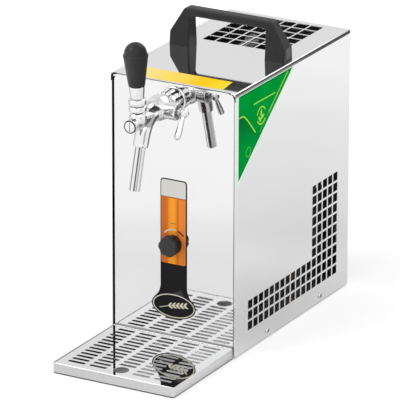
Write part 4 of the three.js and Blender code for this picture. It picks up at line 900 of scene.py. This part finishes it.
def lever():
    """The skirted stem and the tapered handle knob above it, which tilt together."""
    skirt = [(0, 12.5), (6, 12.2), (9.4, 10.9), (10.2, 9.4), (10.8, 9.6), (11, 10.6), (11, 15),
             (10.4, 15.8), (9.5, 16.3), (9.5, 16.9), (10.4, 17.4), (11, 18.2), (11, 23.4),
             (10.4, 24.6), (9.1, 25.3), (8.5, 25.6), (8.5, 26.4), (9, 31), (9.6, 40.4),
             (9.4, 41.4), (0, 41.5)]
    finish("lever_ferrule", *lathe(skirt, LEVER, LEVER_WAY, 56), "chrome", "tap_lever",
           stands_for=("lever_stem",), angle=40)
    # Dark rings in the skirt's grooves: painted shade
    for k, (radius, along) in enumerate(((9.62, 16.6), (8.62, 25.95))):
        ring = [(radius - 0.5, along - 0.35), (radius, along - 0.35), (radius, along + 0.35),
                (radius - 0.5, along + 0.35)]
        finish("ferrule_groove_shade_%d" % k, *lathe(ring + ring[:1], LEVER, LEVER_WAY, 56), "slot_grey",
               "tap_lever", slot="chrome", stands_for=("lever_stem",))
    top = [(14.1 * math.cos(t), 41.4 + 14.2 * math.sin(t)) for t in quarter(10)] + [(0, 55.6)]
    knob = [(0, 0), (9.6, 0), (10.2, 0.4), (10.4, 1.2), (15, 35.5), (15.55, 39.4), (15.2, 40.4),
            (14.5, 40.9)] + top
    finish("lever_grip", *lathe(knob, LEVER + LEVER_WAY * 41.9, LEVER_WAY, 64), "knob_plastic",
           "tap_lever", stands_for=("lever_knob",), angle=40)


def quarter(steps):
    """Angles of a quarter turn, without its last."""
    return [math.pi / 2 * i / steps for i in range(steps)]


def compensator():
    """The ball on the spindle and its small handle."""
    way = Vector((0, -math.sin(COMP_LEAN), -math.cos(COMP_LEAN)))
    profile = [(0, 28), (5.4, 28.2), (5.4, 31), (4.2, 31.6), (4, 33), (0, 33)]
    collar = lathe(profile, COMP, ACROSS, 32)
    centre = COMP + Vector((36.2, 0, 0))
    finish("spindle_ball", *merge(collar, lathe(ball(6.2, 16), centre, ACROSS, 32)), "chrome",
           "compensator", stands_for=("compensator_spindle",))
    rod = [(0, 4), (2.6, 4), (2.7, 8), (3.4, 14), (4, 24), (4, 30)]
    rod += [(4 * math.cos(t), 31 + 3.6 * math.sin(t)) for t in quarter(6)]
    rod.append((0, 34.6))
    finish("compensator_handle", *lathe(rod, centre, way, 32), "chrome", "compensator",
           stands_for=("compensator_lever",))


def dial():
    """The fluted knob and its skirt, which turn on the thermostat's shaft."""
    def flutes(turn):
        count, depth = 7, 0.085
        return 1 - depth * (0.5 + 0.5 * math.cos(turn * count)) ** 3

    pairs = [(0, 5), (13.2, 5), (13.5, 5.6), (13.5, 14.8), (13.1, 16), (12.2, 16.8), (0, 16.8)]
    finish("dial_grip", *lathe(pairs, DIAL, OUTWARD, 84, flutes), "knob_plastic", "thermostat_dial",
           stands_for=("thermostat_knob",))
    finish("dial_skirt", *lathe([(0, 1), (11.5, 1), (11.5, 5.2), (0, 5.2)], DIAL, OUTWARD, 48),
           "knob_plastic", "thermostat_dial", stands_for=("thermostat_knob",))


# Printed labels

def sticker(name, loops, depth, plane, look):
    """A thin printed film: depth counts the layers that it lies above the sheet."""
    film = 0.1
    lift = 0.06 + film * depth
    origin = {
        "front": (0, FACE - lift, 0), "right": (CASE_WIDTH / 2 + lift, 0, 0),
        "top": (0, 0, CASE_TOP + lift),
    }[plane]
    plate(name, loops, film, plane, origin, look, "cabinet", slot="white_plastic")


def ellipse(x, y, half_x, half_y, steps=48):
    return [(x + half_x * math.cos(TAU * k / steps), y + half_y * math.sin(TAU * k / steps))
            for k in range(steps)]


def ribbon(points, width):
    """The outline of a line of even width through points."""
    points = [Vector(p) for p in points]
    left, right = [], []
    for i, point in enumerate(points):
        way = (points[min(i + 1, len(points) - 1)] - points[max(i - 1, 0)]).normalized()
        side = Vector((-way.y, way.x)) * width / 2
        left.append(tuple(point + side))
        right.append(tuple(point - side))
    return left + right[::-1]


def front_label():
    """The picture of a glass of beer on a black foot that ends in an oval."""
    waist = [(18.9, 79), (20.2, 72.5), (22.6, 67.5), (26.5, 63.5), (30, 59), (31.4, 55)]
    border = [(-18.9, 216.6), *arc(-14.3, 216.6, 4.6, 180, 90), *arc(14.3, 216.6, 4.6, 90, 0),
              *waist, *arc_ellipse(), *[(-x, z) for x, z in waist[::-1]]]
    sticker("label_outline", [border], 0, "front", "label_black")
    foam = [(-17.8, 197.5), (-17.8, 216.1), *arc(-14.3, 216.1, 3.5, 180, 90),
            *arc(13.6, 216.1, 3.5, 90, 0), (17.1, 197.5)]
    sticker("label_foam", [foam], 1, "front", "label_foam")
    beer = rounded(34.9, 86.8, [2.6, 2.6, 0, 0], -0.35, 153)
    sticker("label_beer", [beer], 1, "front", "label_beer")
    line = ribbon([(-17.8, 197), (17.1, 197)], 1.6)
    sticker("label_surface", [line], 2, "front", "label_surface")
    shade = [(-2, 70), (10.5, 76.5), (14.5, 68), (9, 68.8)]
    sticker("label_neck_mark", [shade], 1, "front", "label_neck_grey")
    ring = [ellipse(0, 53.7, 29.8, 15.6), ellipse(0, 53.7, 28.5, 14.3)]
    sticker("label_ring", ring, 1, "front", "label_cream")
    for name, start, end, radius, wide, look in (
        ("label_scale", 136, 80, 18, 1.9, "label_cream"),
        ("label_mark", 70, 40, 18, 1.9, "label_black"),
        ("label_dash", 100, 84, 26, 1.2, "label_surface"),
    ):
        line = ribbon(arc(DIAL.x, DIAL.z, radius, start, end, 12), wide)
        sticker(name, [line], 2, "front", look)
    barley()


def barley():
    """A plain ear of barley in the oval."""
    lean, spread, long, wide = 12, 34, 3.4, 1.15
    stalk = ribbon([(-20, 49), (-8, 52.8), (4, 55.3), (18, 56.4)], 0.9)
    sticker("label_stalk", [stalk], 2, "front", "label_cream")
    for i in range(5):
        x, z = -7.5 + 5.5 * i, 53 + 0.8 * i
        for side, sign in (("up", 1), ("down", -1)):
            turn = math.radians(lean + sign * spread)
            along = Vector((math.cos(turn), math.sin(turn)))
            across = Vector((-math.sin(turn), math.cos(turn)))
            middle = Vector((x, z)) + along * long
            grain = [tuple(middle + along * long * math.cos(a) + across * wide * math.sin(a))
                     for a in [TAU * k / 12 for k in range(12)]]
            sticker("label_grain_%s_%d" % (side, i), [grain], 3, "front", "label_cream")


def arc(x, y, radius, start, end, steps=5):
    turns = [math.radians(start + (end - start) * k / steps) for k in range(steps + 1)]
    return [(x + radius * math.cos(t), y + radius * math.sin(t)) for t in turns]


def arc_ellipse():
    """The lower edge of the label, from right to left."""
    turns = [math.radians(-angle) for angle in range(6, 175, 8)]
    return [(31.4 * math.cos(t), 53.4 + 16.7 * math.sin(t)) for t in turns]


def side_label():
    """The green corner with its pale border, lines and wave."""
    sticker("side_border", [[(1.6, 341.8), (153, 341.8), (3.8, 223.8)]], 0, "right", "label_mint")
    outer = [(7.4, 340.7), (145.6, 340.7), (7.4, 232)]
    inner = [(8.6, 339.5), (141.9, 339.5), (8.6, 234.7)]
    sticker("side_triangle", [outer], 1, "right", "label_green")
    sticker("side_rim", [outer, inner], 2, "right", "label_rim_green")
    edge = ribbon([(133.4, 338.8), (84, 299.6)], 1.4)
    sticker("side_edge_line", [edge], 2, "right", "label_lime")
    edge = ribbon([(84, 299.6), (60, 280.8)], 0.8)
    sticker("side_edge_fade", [edge], 2, "right", "label_lime_dim")
    rule = ribbon([(45.2, 320.8), (100.6, 320.4)], 1.4)
    sticker("side_rule", [rule], 2, "right", "label_lime")
    crest = bezier2((8.6, 312.6), (20, 317.5), (28, 306), (50, 283.5))
    swell = crest + [(59.5, 276), (57.5, 273.1), (8.6, 234.7)]
    sticker("side_swell", [swell], 2, "right", "label_leaf_green")
    sticker("side_wave", [ribbon(crest, 1.7)], 3, "right", "label_lime")
    emblem()
    ring = [ellipse(32, 263, radius, radius, 32) for radius in (6.6, 5.4)]
    sticker("side_ring", ring, 3, "right", "label_lime_dim")


def emblem():
    """A plain sprig of three leaves between two short arcs."""
    for name, start, end in (("over", 30, 165), ("under", 205, 330)):
        line = ribbon(arc(65, 301, 11, start, end, 12), 1.7)
        sticker("side_arc_" + name, [line], 3, "right", "label_lime")
    for k, (x, z, lean) in enumerate(((64.5, 304.5, 80), (68.3, 299, 30), (60.6, 297.6, 128))):
        leaf = [(4.6 * math.cos(a), 1.9 * math.sin(a) * (1 - 0.35 * math.cos(a)))
                for a in [TAU * i / 24 for i in range(24)]]
        turn = Matrix.Rotation(math.radians(lean), 2)
        leaf = [tuple(Vector((x, z)) + turn @ Vector(point)) for point in leaf]
        sticker("side_leaf_%d" % k, [leaf], 3, "right", "label_lime")


def bezier2(a, b, c, d, steps=16):
    return [tuple(p)[:2] for p in bezier((*a, 0), (*b, 0), (*c, 0), (*d, 0), steps)]


def top_label():
    band = [(-62, 3), (65.5, 7.5), (61.5, 39.5), (-62, 40)]
    sticker("top_band", [band], 0, "top", "label_yellow")


def label_looks():
    """Printed films, which are matt."""
    def film(name, colour, tint=0.03):
        add_look(name, colour, 0, 0.4, tint, 0.04, 900, 30, 0.01, Specular_IOR_Level=0.0)

    film("label_black", (0.018, 0.018, 0.018), 0.1)
    film("label_foam", (0.66, 0.65, 0.61))
    film("label_surface", (0.42, 0.17, 0.06), 0.1)
    film("label_cream", (0.66, 0.62, 0.5))
    film("label_green", (0.0, 0.31, 0.04), 0.1)
    film("label_mint", (0.7, 0.93, 0.74))
    film("label_leaf_green", (0.004, 0.2, 0.03), 0.1)
    film("label_rim_green", (0.0, 0.13, 0.035), 0.1)
    film("label_neck_grey", (0.05, 0.05, 0.052), 0.1)
    film("label_lime", (0.42, 0.8, 0.09))
    film("label_lime_dim", (0.1, 0.5, 0.06))
    film("label_yellow", (0.95, 0.62, 0.03))
    film("label_beer", (0.8, 0.3, 0.05))


def banded_looks():
    """Colours that run in bands along a surface: print on the labels, and painted shade and painted
    light on the tray's floor and the trims.
    """
    stripes(LOOKS["label_beer"], [
        (0.0, (0.6, 0.15, 0.03)), (0.22, (0.62, 0.16, 0.03)), (0.33, (0.88, 0.3, 0.03)),
        (0.46, (0.93, 0.36, 0.035)), (0.58, (0.88, 0.29, 0.03)), (0.66, (0.6, 0.16, 0.025)),
        (0.74, (0.83, 0.25, 0.04)), (1.0, (0.72, 0.22, 0.05)),
    ], (1 / 0.0352, 0, 0))
    # Painted shade: the tray's floor dark at the left, lighter towards the front right
    stripes(LOOKS["tray_floor_shade"], [
        (0.0, 0.01), (0.24, 0.015), (0.42, 0.16), (0.6, 0.75), (1.0, 0.9),
    ], (1 / 0.168, -1.8, 0), (0, -75, 0))
    # Painted shade: the hem darker towards the rear
    stripes(LOOKS["trim_hem"], [(0.0, (0.25, 0.245, 0.24)), (0.5, 0.2), (1.0, 0.02)],
            (0, 1 / 0.14, 0), (88, 140, 343))
    # Painted light on the right edge's trim, darker towards the bottom
    stripes(LOOKS["trim_pale"], [(0.0, 0.13), (0.45, 0.2), (1.0, 0.44)],
            (0, 0, 1 / 0.32), (85, 1, 175))
    stripes(LOOKS["label_yellow"], [
        (0.0, (0.9, 0.74, 0.3)), (0.45, (0.96, 0.68, 0.12)), (0.75, (0.97, 0.58, 0.02)),
        (1.0, (0.98, 0.68, 0.04)),
    ], (1 / 0.124, 0, 0))
    stripes(LOOKS["label_leaf_green"], [(0.0, (0.0, 0.3, 0.042)), (1.0, (0.003, 0.17, 0.035))],
            (0, 0, 1 / 0.05), (88, 20, 287))


# The whole

plain_looks()
add_camera()
add_world()
add_lamps()
add_floor()
label_looks()
banded_looks()
paint_reflections_and_shade()
dress_nodes()
top_cover()
gasket_corners()
carry_handle()
drip_tray()
drip_grid()
tap_casting()
spout()
valve_cap()
coupling_nut()
lever()
compensator()
dial()
front_label()
side_label()
top_label()
SCENE.view_settings.view_transform = "Standard"
